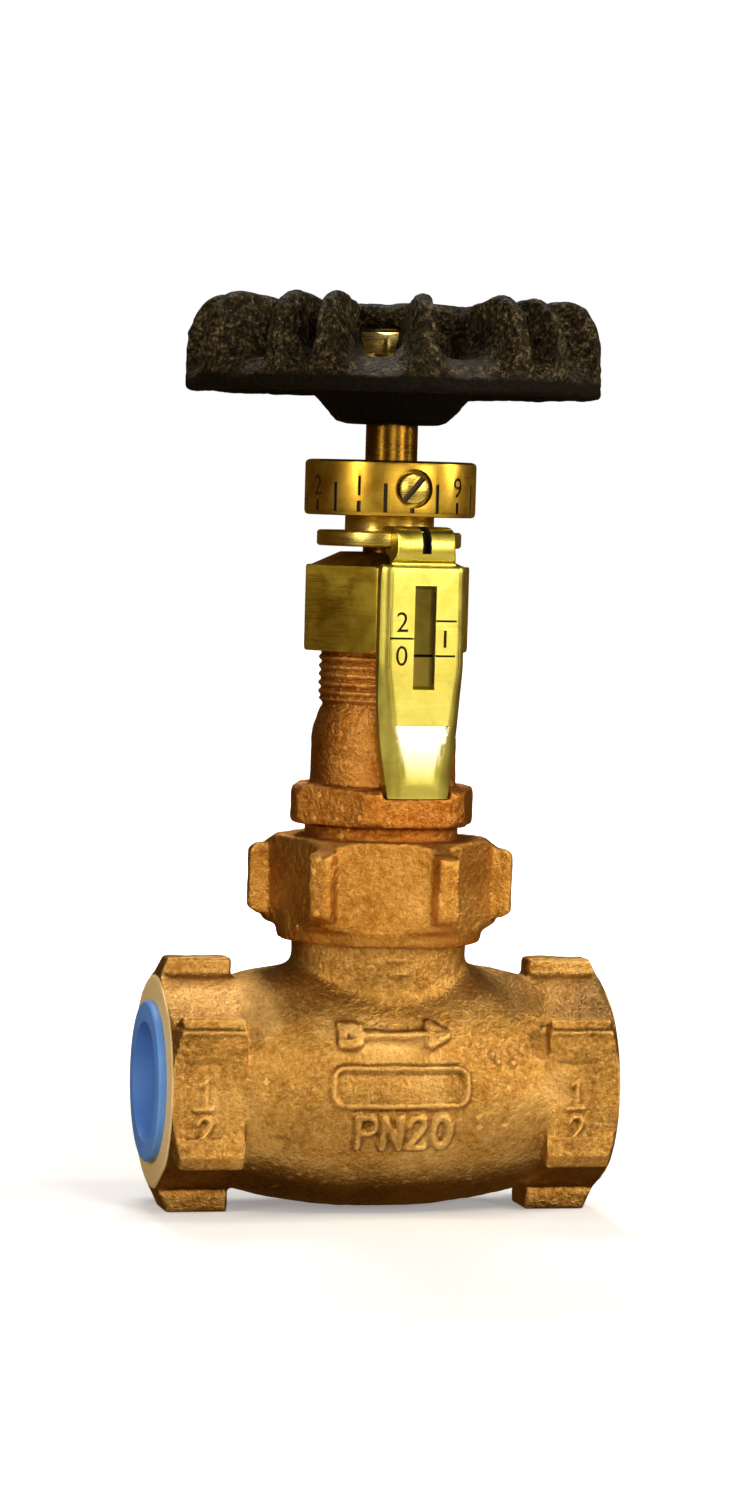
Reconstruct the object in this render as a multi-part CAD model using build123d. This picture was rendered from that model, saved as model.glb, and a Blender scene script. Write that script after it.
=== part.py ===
from build123d import *
import os
from math import sin, cos, tan, radians, pi

# Half-inch bronze globe valve, throttling type, with a position indicator.
# Millimetres. +Z is up the stem, +X is the flow direction, the stem axis is X = Y = 0,
# and Z = 0 is the surface that the valve stands on.

# ---- driving dimensions -------------------------------------------------
RUN_Z = 19.6            # height of the pipe run's axis
HALF_LEN = 35.0         # stem axis to each pipe end face
END_INNER = 23.5        # where the hexagonal ends begin
HEX_AF = 31.75          # across flats of the pipe ends and of the union nut
HEX_RIB_R = 19.2        # radius over the raised corner ribs of the pipe ends
GLOBE_R = 19.3          # largest radius of the globe
PORT_R = 9.2            # crest radius of the half-inch female pipe thread
PORT_LEN = 12.0         # length of the thread's wall
PORT_CHAMFER = 1.5      # mouth chamfer
NECK_R = 13.46          # neck outside radius
NECK_TOP = 53.6
NECK_BORE = 11.0
WEB_Z0, WEB_Z1 = 18.5, 22.5   # horizontal seat web
SEAT_THREAD_R = 8.0
SEAT_BORE = 6.35

UNION_Z0, UNION_Z1 = 41.6, 57.6
UNION_LUG_R = 20.4
UNION_LUG_AZ = 19.0     # azimuth of one lug, from -Y towards +X

BONNET_FLANGE_Z0, BONNET_FLANGE_Z1 = 59.6, 65.5
BONNET_AF = 27.0
BONNET_SEAT_Z = 64.2    # milled seat of the scale plate
BONNET_THREAD_Z0, BONNET_THREAD_Z1 = 78.1, 95.4
BONNET_THREAD_R = 10.3
BONNET_PITCH = 1.3
STEM_THREAD_BORE = 4.82
STEM_PASS_BORE = 4.06
BOX_Z0 = 79.0           # floor of the stuffing box
BOX_R = 6.6

PACK_Z0, PACK_Z1, PACK_CONE_Z = 86.1, 99.2, 101.2
PACK_AF = 23.8
PLATE_AZ = 10.2         # azimuth of the indicator, from -Y towards +X

STEM_R = 4.0
STEM_THREAD_R = 4.76
STEM_TOP = 135.6
LIFT = 6.75             # plug lift over the full travel
TURNS = 2.5             # handwheel turns over the full travel

COLLAR_R, COLLAR_Z0, COLLAR_Z1 = 11.1, 102.1, 104.5
COLLAR_HUB_R, COLLAR_HUB_Z = 6.85, 113.1
DIAL_R, DIAL_Z0, DIAL_Z1 = 13.15, 106.8, 115.3
SCREW_AZ, SCREW_Z = 2.7, 111.1

WHEEL_R = 31.75
WHEEL_Z0, WHEEL_FLOOR, WHEEL_TOP = 125.4, 130.3, 140.2
WHEEL_HUB_Z = 120.8
FIN_T = 3.4
FIN_AZ = [-4.6 + 72 * k + o for k in range(5) for o in (0.0, 28.5, 43.5)]
SPOKE_AZ = [-4.6 + 72 * k + 36.0 for k in range(5)]
NUT_Z0, NUT_Z1 = 131.4, 134.7

PLUG_OUT = 1.2          # how far the thread protector's flange stands out

os.makedirs("parts", exist_ok=True)


# ---- helpers ------------------------------------------------------------
def face_rz(pts):
    return make_face(Polyline(*[(r, 0, z) for r, z in pts], close=True))


def turned(pts):
    """Solid of revolution about the stem axis from a closed (radius, z) outline."""
    return revolve(face_rz(pts), Axis.Z, 360)


def tube(r0, r1, z0, z1):
    if r0 > 0:
        return turned([(r0, z0), (r1, z0), (r1, z1), (r0, z1)])
    return turned([(0, z0), (r1, z0), (r1, z1), (0, z1)])


def turned_x(pts):
    """Solid of revolution about the pipe run from a closed (x, radius) outline."""
    f = make_face(Polyline(*[(x, 0, r) for x, r in pts], close=True))
    return Pos(0, 0, RUN_Z) * revolve(f, Axis.X, 360)


def azdir(az):
    """Unit direction at an azimuth from -Y towards +X."""
    return sin(radians(az)), -cos(radians(az))


def spin(az):
    """Turns a shape drawn facing -Y to face the azimuth."""
    return Rot(0, 0, az)


def block(x0, x1, y0, y1, z0, z1):
    return Pos((x0 + x1) / 2, (y0 + y1) / 2, (z0 + z1) / 2) * Box(x1 - x0, y1 - y0, z1 - z0)


def hex_prism(af, z0, z1, az):
    """Hexagonal prism about the stem with one flat facing the azimuth."""
    rc = af / 2 / cos(radians(30))
    pts = []
    for k in range(6):
        d = azdir(az + 30 + 60 * k)
        pts.append((rc * d[0], rc * d[1], z0))
    return extrude(make_face(Polyline(*pts, close=True)), amount=z1 - z0, dir=(0, 0, 1))


def ring_thread(r_major, depth, pitch, z0, n, inside=False):
    """V grooves cut into a shaft (or a bore) at a thread's pitch."""
    cuts = None
    for k in range(n):
        zc = z0 + (k + 0.5) * pitch
        h = pitch * 0.44
        if inside:
            p = [(r_major - 0.3, zc - h - 0.1), (r_major + depth, zc), (r_major - 0.3, zc + h + 0.1)]
        else:
            p = [(r_major - depth, zc), (r_major + 0.3, zc - h - 0.1), (r_major + 0.3, zc + h + 0.1)]
        c = turned(p)
        cuts = c if cuts is None else cuts + c
    return cuts


def save(shape, node):
    shape.label = node
    export_step(shape, f"parts/{node}.step")


# ---- body casting -------------------------------------------------------
def body_end(sign):
    """Hexagonal pipe end with raised corner ribs and a turned end face."""
    x0, x1 = (END_INNER, HALF_LEN) if sign > 0 else (-HALF_LEN, -END_INNER)
    rc = HEX_AF / 2 / cos(radians(30))
    pts = [(x0, rc * cos(radians(30 + 60 * k)), rc * sin(radians(30 + 60 * k)) + RUN_Z) for k in range(6)]
    hexa = extrude(make_face(Polyline(*pts, close=True)), amount=x1 - x0, dir=(1, 0, 0))
    for k in range(6):
        a = 30 + 60 * k
        w = 5.0
        rib = Box(x1 - x0, 5.0, w)
        rib = Pos((x0 + x1) / 2, HEX_RIB_R - 2.5, 0) * rib
        hexa = hexa + Pos(0, 0, RUN_Z) * (Rot(a, 0, 0) * rib)
    # broad foot under the lowest corner, flat at Z = 0
    foot = block(x0, x1, -4.2, 4.2, 0.0, 3.0)
    hexa = hexa + foot
    # raised pads on the front and back flats
    hexa = hexa + block(x0, x1, -16.3, 16.3, 10.6, 28.6)
    # turned end: the corners run out on a cone towards the end face
    xe = HALF_LEN
    lim = [(END_INNER - 1, 0), (END_INNER - 1, 20.8), (xe - 2.4, 20.8), (xe, 15.9), (xe, 0)]
    if sign < 0:
        lim = [(-x, r) for x, r in lim]
    return hexa & turned_x(lim)


def build_body():
    e = END_INNER + 0.4
    prof = Spline((-e, 0, 16.1), (-15, 0, 18.05), (0, 0, GLOBE_R), (15, 0, 18.05), (e, 0, 16.1),
                  tangents=[(1, 0, 0.28), (1, 0, -0.28)])
    outline = [prof, Line((e, 0, 16.1), (e, 0, 0)), Line((e, 0, 0), (-e, 0, 0)), Line((-e, 0, 0), (-e, 0, 16.1))]
    globe = Pos(0, 0, RUN_Z) * revolve(make_face(Wire(outline)), Axis.X, 360)
    neck = tube(0, NECK_R, RUN_Z, NECK_TOP)
    solid = globe + neck + body_end(1) + body_end(-1)
    # flow arrow in relief on the front
    arrow = Polyline((-9.8, 0, 30.6), (-7.0, 0, 30.6), (-5.9, 0, 29.3), (3.9, 0, 29.2), (3.2, 0, 31.0), (7.7, 0, 28.4),
                     (3.6, 0, 26.0), (3.9, 0, 27.8), (-5.9, 0, 27.9), (-7.0, 0, 26.6), (-9.8, 0, 26.6), close=True)
    arrow = extrude(make_face(arrow), amount=26, dir=(0, -1, 0))
    skin = Spline((-e, 0, 16.6), (-15, 0, 18.55), (0, 0, GLOBE_R + 0.5), (15, 0, 18.55), (e, 0, 16.6),
                  tangents=[(1, 0, 0.28), (1, 0, -0.28)])
    outline = [skin, Line((e, 0, 16.6), (e, 0, 0)), Line((e, 0, 0), (-e, 0, 0)), Line((-e, 0, 0), (-e, 0, 16.6))]
    arrow = arrow & (Pos(0, 0, RUN_Z) * revolve(make_face(Wire(outline)), Axis.X, 360))
    solid = solid + arrow

    # flow passages: two ports, the chamber, the neck bore; the bridge stays
    xe = HALF_LEN
    t0 = xe - PORT_CHAMFER
    t1 = t0 - PORT_LEN
    half = [(0, 15.6), (13.5, 14.3), (t1 - 1.2, 11.6), (t1, PORT_R), (t0, PORT_R), (xe, PORT_R + 1.5), (xe + 2, PORT_R + 1.5), (xe + 2, 0)]
    void = turned_x(half + [(-x, r) for x, r in reversed(half) if True])
    void = void + tube(0, NECK_BORE, RUN_Z + 2, NECK_TOP + 2)
    bridge = block(-14, 14, -20, 20, WEB_Z0, WEB_Z1)
    bridge = bridge + block(-14, -11.1, -20, 20, WEB_Z0, 45)
    bridge = bridge + block(11.1, 14, -20, 20, -5, WEB_Z1)
    void = void - bridge
    solid = solid - void
    solid = solid - tube(0, SEAT_THREAD_R, WEB_Z0 - 1, WEB_Z1 + 1)
    # union thread on the neck
    solid = solid - ring_thread(NECK_R, 0.7, 1.6, 45.0, 5)
    return solid


valve_body = build_body()

seat_ring = turned([(SEAT_BORE, 18.2), (SEAT_THREAD_R, 18.2), (SEAT_THREAD_R, WEB_Z1), (9.6, WEB_Z1), (9.6, 23.7),
                    (7.35, 23.7), (SEAT_BORE, 22.7)])

# ---- union nut ----------------------------------------------------------
def build_union():
    nut = hex_prism(HEX_AF, UNION_Z0 + 2.2, UNION_Z1, UNION_LUG_AZ - 30)
    nut = nut + turned([(0, UNION_Z0), (15.6, UNION_Z0), (16.2, UNION_Z0 + 2.4), (0, UNION_Z0 + 2.4)])
    nut = nut & turned([(0, UNION_Z0), (15.6, UNION_Z0), (16.4, UNION_Z0 + 2.2), (18.3, UNION_Z0 + 2.9), (18.3, UNION_Z1 - 1.5),
                        (16.2, UNION_Z1), (0, UNION_Z1)])
    for k in range(6):
        lug = extrude(make_face(Polyline((-1.9, -15.0, 45.4), (1.9, -15.0, 45.4), (1.9, -UNION_LUG_R + 0.5, 45.4),
                                         (1.3, -UNION_LUG_R, 45.4), (-1.3, -UNION_LUG_R, 45.4), (-1.9, -UNION_LUG_R + 0.5, 45.4), close=True)),
                      amount=10.6, dir=(0, 0, 1))
        nut = nut + spin(UNION_LUG_AZ + 60 * k) * lug
    nut = nut & turned([(0, UNION_Z0), (15.6, UNION_Z0), (18.6, 45.2), (21, 46.6), (21, 54.8), (18.2, 56.9), (16.2, UNION_Z1), (0, UNION_Z1)])
    bore = turned([(0, UNION_Z0 - 1), (13.8, UNION_Z0 - 1), (13.52, UNION_Z0 + 1), (13.52, 55.1), (12.0, 55.1), (12.0, UNION_Z1 + 1), (0, UNION_Z1 + 1)])
    return nut - bore


union_nut = build_union()

# ---- bonnet -------------------------------------------------------------
def build_bonnet():
    outer = turned([(0, 46.0), (10.4, 46.0), (10.9, 46.6), (10.9, NECK_TOP), (13.3, NECK_TOP), (13.3, 55.1), (11.8, 55.1),
                    (11.8, 61.0), (0, 61.0)])
    flange = hex_prism(BONNET_AF, BONNET_FLANGE_Z0, BONNET_FLANGE_Z1, PLATE_AZ)
    flange = flange & turned([(0, BONNET_FLANGE_Z0), (14.2, BONNET_FLANGE_Z0), (14.9, BONNET_FLANGE_Z0 + 0.8),
                              (14.9, BONNET_FLANGE_Z1 - 0.8), (14.1, BONNET_FLANGE_Z1), (0, BONNET_FLANGE_Z1)])
    barrel = turned([(0, 61), (11.2, 61), (11.2, 72.7), (10.9, 74.6), (10.1, 76.9), (9.5, 77.9), (9.5, BONNET_THREAD_Z0),
                     (BONNET_THREAD_R, BONNET_THREAD_Z0 + 0.5), (BONNET_THREAD_R, BONNET_THREAD_Z1 - 0.6), (9.7, BONNET_THREAD_Z1),
                     (0, BONNET_THREAD_Z1)])
    solid = outer + flange + barrel
    # milled seat for the scale plate in the front of the flange
    solid = solid - spin(PLATE_AZ) * block(-5.6, 5.6, -16.5, -11.35, BONNET_SEAT_Z, BONNET_FLANGE_Z1 + 1)
    solid = solid - ring_thread(BONNET_THREAD_R, 0.72, BONNET_PITCH, BONNET_THREAD_Z0 + 0.35, 12)
    # stem thread bore, stem bore, stuffing box
    solid = solid - turned([(0, 44), (7.4, 44), (7.4, 52.0), (STEM_THREAD_BORE, 54.0), (STEM_THREAD_BORE, 75.4), (STEM_PASS_BORE, 76.4),
                            (STEM_PASS_BORE, BOX_Z0), (BOX_R, BOX_Z0), (BOX_R, BONNET_THREAD_Z1 + 1), (0, BONNET_THREAD_Z1 + 1)])
    return solid


bonnet = build_bonnet()

# ---- stuffing box -------------------------------------------------------
packing_washer = tube(STEM_PASS_BORE, BOX_R - 0.05, BOX_Z0, BOX_Z0 + 1.2)
ring_h = 2.9
rings = []
for k in range(3):
    z0 = BOX_Z0 + 1.2 + k * ring_h
    rings.append(turned([(STEM_PASS_BORE, z0 + 0.3), (STEM_PASS_BORE + 0.4, z0), (BOX_R - 0.4, z0), (BOX_R - 0.02, z0 + 0.3),
                         (BOX_R - 0.02, z0 + ring_h - 0.3), (BOX_R - 0.4, z0 + ring_h), (STEM_PASS_BORE + 0.4, z0 + ring_h),
                         (STEM_PASS_BORE, z0 + ring_h - 0.3)]))
packing_rings = Compound(children=rings)
gz0 = BOX_Z0 + 1.2 + 3 * ring_h
packing_gland = turned([(STEM_PASS_BORE, gz0), (BOX_R - 0.05, gz0), (BOX_R - 0.05, BONNET_THREAD_Z1), (7.6, BONNET_THREAD_Z1 + 0.2),
                        (7.6, 97.2), (STEM_PASS_BORE, 97.2)])

# ---- packing nut --------------------------------------------------------
def build_packing_nut():
    nut = hex_prism(PACK_AF, PACK_Z0, PACK_Z1, PLATE_AZ)
    nut = nut & turned([(0, PACK_Z0), (13.2, PACK_Z0), (13.75, PACK_Z0 + 0.5), (13.75, PACK_Z1 - 0.3), (13.3, PACK_Z1), (0, PACK_Z1)])
    nut = nut + turned([(0, PACK_Z1 - 0.4), (11.8, PACK_Z1 - 0.4), (11.8, PACK_Z1), (7.5, PACK_CONE_Z), (0, PACK_CONE_Z)])
    nut = nut - turned([(0, PACK_Z0 - 1), (10.9, PACK_Z0 - 1), (10.36, PACK_Z0 + 0.2), (10.36, 97.2), (4.4, 97.2), (4.4, PACK_CONE_Z + 1), (0, PACK_CONE_Z + 1)])
    return nut


packing_nut = build_packing_nut()

# ---- scale plate --------------------------------------------------------
SLOT_W, SLOT_Z0, SLOT_Z1 = 3.8, 80.8, 96.0


def build_scale_plate():
    # front view outline: parallel sides, tapering towards the foot
    front = [(-6.8, 99.6), (6.8, 99.6), (6.8, 84.0), (6.65, 79.0), (6.25, 74.0), (5.6, 69.0), (4.9, BONNET_SEAT_Z),
             (-4.9, BONNET_SEAT_Z), (-5.6, 69.0), (-6.25, 74.0), (-6.65, 79.0), (-6.8, 84.0)]
    f = extrude(make_face(Polyline(*[(x, -10.5, z) for x, z in front], close=True)), amount=5, dir=(0, -1, 0))
    # side view outline: the foot leans in towards the barrel
    side = [(-12.05, 99.6), (-14.5, 99.6), (-14.5, 75.6), (-14.1, 72.0), (-13.5, 68.0), (-13.2, BONNET_SEAT_Z), (-11.5, BONNET_SEAT_Z),
            (-11.5, 75.2), (-12.05, 75.8)]
    s = extrude(make_face(Polyline(*[(-8, y, z) for y, z in side], close=True)), amount=16, dir=(1, 0, 0))
    plate = f & s
    # channel behind the face for the indicator slide, open at the top
    plate = plate - block(-5.75, 5.75, -13.5, -11, 75.9, 100)
    plate = plate - block(-SLOT_W / 2, SLOT_W / 2, -15, -11, SLOT_Z0, SLOT_Z1)
    return spin(PLATE_AZ) * plate


scale_plate = build_scale_plate()


# ---- indicator slide ----------------------------------------------------
def build_slide():
    strip = block(-5.35, 5.35, -13.4, -12.2, 76.6, 100.4)
    # hooked hood over the rim of the stem collar
    hood = [(-12.2, 99.9), (-13.4, 99.9), (-14.2, 100.5), (-14.5, 101.6), (-14.5, 103.4), (-13.9, 104.7), (-12.8, 105.4), (-8.4, 105.4),
            (-8.4, 104.62), (-11.9, 104.62), (-11.9, 101.95), (-9.6, 101.95), (-9.6, 101.3), (-11.2, 100.9), (-12.2, 100.4)]
    h = extrude(make_face(Polyline(*[(-4.75, y, z) for y, z in hood], close=True)), amount=9.5, dir=(1, 0, 0))
    s = strip + h
    s = s - block(-0.65, 0.65, -15, -12.6, 101.6, 106)
    s = s - block(-0.65, 0.65, -15, -9.6, 104.4, 106)
    return spin(PLATE_AZ) * s


indicator_slide = build_slide()

# ---- stem and plug ------------------------------------------------------
def build_stem():
    s = turned([(0, 28.2), (5.6, 28.2), (6.0, 28.6), (6.0, 30.8), (5.6, 31.2), (STEM_THREAD_R - 0.02, 31.2), (STEM_THREAD_R - 0.02, 68.0),
                (STEM_R, 68.8), (STEM_R, 123.0), (3.6, 123.4), (3.6, 128.9), (3.1, 129.4), (3.1, STEM_TOP - 0.5), (2.6, STEM_TOP), (0, STEM_TOP)])
    s = s - ring_thread(STEM_THREAD_R, 0.5, 2.7, 54.5, 5)
    # square drive for the wheel
    sq = 5.9
    flats = tube(2.0, 8, 123.4, 128.9) - block(-sq / 2, sq / 2, -sq / 2, sq / 2, 120, 130)
    s = s - flats
    s = s - ring_thread(3.1, 0.35, 1.0, 130.4, 5)
    return s


stem = build_stem()

throttle_plug = turned([(0, 17.6), (3.2, 17.6), (5.2, 19.4), (6.2, 21.6), (6.25, 22.78), (7.22, 23.8), (9.0, 24.6), (9.0, 36.6), (8.4, 37.2),
                        (7.35, 37.2), (7.35, 31.3), (6.3, 31.3), (6.3, 28.15), (0, 28.15)])
plug_lock_nut = hex_prism(12.4, 35.2, 39.8, 0) & tube(0, 7.0, 35.2, 39.8)
plug_lock_nut = plug_lock_nut + tube(0, 7.33, 31.3, 35.4)
plug_lock_nut = plug_lock_nut - tube(0, STEM_THREAD_R + 0.06, 30, 41)

# ---- stem collar, dial, screw -------------------------------------------
def radial_cyl(r, y0, y1, az, z):
    """Cylinder along a radius at the azimuth, from radius y0 to radius y1."""
    c = Pos(0, -(y0 + y1) / 2, z) * (Rot(90, 0, 0) * Cylinder(r, y1 - y0))
    return spin(az) * c


stem_collar = turned([(STEM_R, COLLAR_Z0), (COLLAR_R - 0.3, COLLAR_Z0), (COLLAR_R, COLLAR_Z0 + 0.3), (COLLAR_R, COLLAR_Z1 - 0.3),
                      (COLLAR_R - 0.3, COLLAR_Z1), (COLLAR_HUB_R, COLLAR_Z1), (COLLAR_HUB_R, COLLAR_HUB_Z), (STEM_R, COLLAR_HUB_Z)])
stem_collar = stem_collar - radial_cyl(1.5, 3.0, 9.0, SCREW_AZ, SCREW_Z)
dial_ring = turned([(COLLAR_HUB_R, DIAL_Z0), (DIAL_R - 0.5, DIAL_Z0), (DIAL_R, DIAL_Z0 + 0.5), (DIAL_R, DIAL_Z1 - 0.5), (DIAL_R - 0.5, DIAL_Z1),
                    (11.4, DIAL_Z1), (10.9, 114.2), (5.0, 114.2), (5.0, COLLAR_HUB_Z), (COLLAR_HUB_R, COLLAR_HUB_Z)])
dial_ring = dial_ring - radial_cyl(2.95, 11.0, 15.0, SCREW_AZ, SCREW_Z) - radial_cyl(1.55, 5.0, 12.0, SCREW_AZ, SCREW_Z)
dial_screw = radial_cyl(2.35, 11.02, 12.95, SCREW_AZ, SCREW_Z) + radial_cyl(1.48, 4.1, 11.1, SCREW_AZ, SCREW_Z)
slot = spin(SCREW_AZ) * (Pos(0, -12.7, SCREW_Z) * (Rot(0, -52, 0) * Box(6, 1.3, 0.75)))
dial_screw = dial_screw - slot

# ---- handwheel ----------------------------------------------------------
def build_wheel():
    w = turned([(0, WHEEL_HUB_Z), (8.3, WHEEL_HUB_Z), (12.0, 125.2), (12.4, 126.4), (24.5, 126.4), (26.0, WHEEL_Z0), (WHEEL_R - 0.4, WHEEL_Z0),
                (WHEEL_R, WHEEL_Z0 + 0.4), (31.35, WHEEL_FLOOR - 0.9), (30.4, WHEEL_FLOOR), (23.5, WHEEL_FLOOR), (21.5, 129.2), (11.0, 129.2), (9.6, 130.4), (0, 130.4)])
    # windows between the spokes
    for a in SPOKE_AZ:
        d = azdir(a + 36)
        win = Pos(15.9 * d[0], 15.9 * d[1], 128) * (Rot(0, 0, a + 36) * Box(8.4, 5.0, 12))
        w = w - win
    prof = Spline((14.6, 0, 129.4), (14.9, 0, 134.5), (16.8, 0, 138.3), (20.5, 0, 139.4), (26.2, 0, WHEEL_TOP), (29.4, 0, 138.9), (30.9, 0, 136.0), (31.4, 0, 129.2))
    f = make_face(Wire([prof, Line((31.4, 0, 129.2), (31.0, 0, 127.0)), Line((31.0, 0, 127.0), (15.2, 0, 127.2)), Line((15.2, 0, 127.2), (14.6, 0, 129.4))]))
    fin = extrude(f, amount=FIN_T / 2, both=True)
    for a in FIN_AZ:
        w = w + Rot(0, 0, a - 90) * fin
    # crown ring that ties the ribs' inner ends together
    w = w + turned([(14.5, 135.3), (15.3, 134.9), (17.7, 134.9), (18.5, 135.7), (18.5, 137.4), (17.4, 138.6), (15.5, 138.6), (14.5, 137.6)])
    w = w - tube(0, 4.3, WHEEL_HUB_Z - 1, 123.4)
    sq = 6.1
    w = w - block(-sq / 2, sq / 2, -sq / 2, sq / 2, 123.0, 129.0) - tube(0, 3.7, 128.9, 131)
    return w


handwheel = build_wheel()
handwheel_washer = tube(3.2, 7.4, 130.4, NUT_Z0)
handwheel_nut = hex_prism(11.1, NUT_Z0, NUT_Z1, 6.0) & turned([(0, NUT_Z0), (6.3, NUT_Z0), (6.3, NUT_Z1 - 0.4), (5.6, NUT_Z1), (0, NUT_Z1)])
handwheel_nut = handwheel_nut - tube(0, 3.12, NUT_Z0 - 1, NUT_Z1 + 1)

# ---- thread protector ---------------------------------------------------
px = -HALF_LEN
thread_protector = turned_x([(px - PLUG_OUT, 9.2), (px - PLUG_OUT, 12.0), (px - 0.9, 12.3), (px, 12.3), (px, PORT_R - 0.1), (-25.0, PORT_R - 0.1),
                             (-23.6, 7.9), (-23.6, 0), (-24.9, 0), (-24.9, 7.4), (-26.0, 8.2)])

nodes = {
    "valve_body": valve_body, "seat_ring": seat_ring, "union_nut": union_nut, "bonnet": bonnet,
    "packing_washer": packing_washer, "packing_rings": packing_rings, "packing_gland": packing_gland, "packing_nut": packing_nut,
    "scale_plate": scale_plate, "indicator_slide": indicator_slide, "stem": stem, "throttle_plug": throttle_plug,
    "plug_lock_nut": plug_lock_nut, "stem_collar": stem_collar, "dial_ring": dial_ring, "dial_screw": dial_screw,
    "handwheel": handwheel, "handwheel_washer": handwheel_washer, "handwheel_nut": handwheel_nut, "thread_protector": thread_protector,
}
for name, shape in nodes.items():
    save(shape, name)
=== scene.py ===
import math
import bmesh
import bpy
import numpy as np
from math import sin, cos, tan, pi, radians, sqrt, atan2
from mathutils import Matrix, Vector


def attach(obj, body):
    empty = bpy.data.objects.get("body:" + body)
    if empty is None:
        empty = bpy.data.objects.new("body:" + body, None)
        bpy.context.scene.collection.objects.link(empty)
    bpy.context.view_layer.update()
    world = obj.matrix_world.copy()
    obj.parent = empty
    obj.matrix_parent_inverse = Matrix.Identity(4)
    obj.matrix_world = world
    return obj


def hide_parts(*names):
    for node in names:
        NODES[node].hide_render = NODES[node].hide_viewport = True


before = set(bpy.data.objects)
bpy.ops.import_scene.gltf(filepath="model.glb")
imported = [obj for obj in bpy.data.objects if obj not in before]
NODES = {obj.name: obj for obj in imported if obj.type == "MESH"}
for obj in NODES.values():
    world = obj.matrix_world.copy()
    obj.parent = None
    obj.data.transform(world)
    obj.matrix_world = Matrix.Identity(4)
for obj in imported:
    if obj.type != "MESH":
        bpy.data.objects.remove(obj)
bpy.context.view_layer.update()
MM = 0.001

# ---------------------------------------------------------------- dimensions, in mm
RUN_Z = 19.6
PLATE_AZ = 10.2
WHEEL_AZ = -4.6

# ---------------------------------------------------------------- scene, camera, light
scene = bpy.context.scene
scene.view_settings.view_transform = "Standard"
scene.view_settings.look = "None"
scene.view_settings.exposure = 0.0
scene.view_settings.gamma = 1.0

cam_data = bpy.data.cameras.new("camera")
cam_data.sensor_width = 36.0
cam_data.sensor_fit = "AUTO"
cam_data.lens = 112.73
cam_data.clip_start = 0.01
cam_data.clip_end = 20.0
cam = bpy.data.objects.new("camera", cam_data)
scene.collection.objects.link(cam)
fw = Vector((0.23209004, 0.9710879, -0.05587931)).normalized()
rt = Vector((0.97260111, -0.23088932, 0.02715142)).normalized()
up = rt.cross(fw).normalized()
rt = fw.cross(up).normalized()
m = Matrix.Identity(4)
for i in range(3):
    m[i][0], m[i][1], m[i][2] = rt[i], up[i], -fw[i]
m[0][3], m[1][3], m[2][3] = -0.16920831, -0.70250686, 0.11120468
cam.matrix_world = m
scene.camera = cam


def area_light(name, loc, aim, size, power, color=(1, 1, 1), size_y=None):
    d = bpy.data.lights.new(name, "AREA")
    d.energy = power
    d.color = color
    d.size = size
    if size_y:
        d.shape = "RECTANGLE"
        d.size_y = size_y
    o = bpy.data.objects.new(name, d)
    scene.collection.objects.link(o)
    o.location = loc
    o.rotation_euler = (Vector(aim) - Vector(loc)).to_track_quat("-Z", "Y").to_euler()
    return o


area_light("key", (0.56, -0.84, 0.26), (0, 0, 0.07), 0.22, 3.0, (1.0, 0.95, 0.86))
area_light("high", (0.20, -0.90, 0.72), (0, 0, 0.07), 0.22, 3.6, (1.0, 0.95, 0.86))
area_light("front", (-0.10, -1.02, 0.22), (0, 0, 0.07), 0.30, 1.5, (1.0, 0.95, 0.86))
area_light("bounce", (0.02, -0.165, 0.002), (0.02, -0.165, 0.30), 0.50, 0.36, (1.0, 0.95, 0.86), 0.30)
area_light("right_strip", (0.88, -0.22, 0.44), (0, 0, 0.06), 0.12, 5.0, (1.0, 0.95, 0.86), 0.5)
area_light("left_strip", (-0.84, -0.50, 0.40), (0, 0, 0.05), 0.14, 4.8, (1.0, 0.95, 0.86), 0.5)
area_light("top", (0.02, 0.50, 0.85), (0, 0, 0.05), 0.30, 4.0, (1.0, 0.97, 0.92))

world = bpy.data.worlds.new("studio")
scene.world = world
world.use_nodes = True
wn = world.node_tree.nodes
wl = world.node_tree.links
for n in list(wn):
    wn.remove(n)
w_out = wn.new("ShaderNodeOutputWorld")
w_bg = wn.new("ShaderNodeBackground")
w_tc = wn.new("ShaderNodeTexCoord")
w_sep = wn.new("ShaderNodeSeparateXYZ")
w_ramp = wn.new("ShaderNodeValToRGB")
wl.new(w_tc.outputs["Generated"], w_sep.inputs[0])
wl.new(w_sep.outputs["Z"], w_ramp.inputs[0])
cr = w_ramp.color_ramp
cr.elements[0].position = 0.0
cr.elements[0].color = (0.11, 0.055, 0.012, 1)
cr.elements[1].position = 1.0
cr.elements[1].color = (0.55, 0.55, 0.55, 1)
e = cr.elements.new(0.35)
e.color = (0.09, 0.05, 0.015, 1)
e = cr.elements.new(0.62)
e.color = (0.20, 0.17, 0.13, 1)
wl.new(w_ramp.outputs[0], w_bg.inputs[0])
w_bg.inputs[1].default_value = 0.75
w_lp = wn.new("ShaderNodeLightPath")
w_mix = wn.new("ShaderNodeMixShader")
w_white = wn.new("ShaderNodeBackground")
w_white.inputs[0].default_value = (1, 1, 1, 1)
w_white.inputs[1].default_value = 1.0
wl.new(w_lp.outputs["Is Camera Ray"], w_mix.inputs[0])
wl.new(w_bg.outputs[0], w_mix.inputs[1])
wl.new(w_white.outputs[0], w_mix.inputs[2])
wl.new(w_mix.outputs[0], w_out.inputs[0])


# ---------------------------------------------------------------- numpy noise
def _hash(ix, iy, iz, seed):
    h = (ix * 374761393 + iy * 668265263 + iz * 2147483647 + seed * 1274126177) & 0xFFFFFFFF
    h = ((h ^ (h >> 13)) * 1274126177) & 0xFFFFFFFF
    h = (h ^ (h >> 16)) & 0xFFFFFFFF
    return h.astype(np.float64) / 4294967295.0 * 2 - 1


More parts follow.
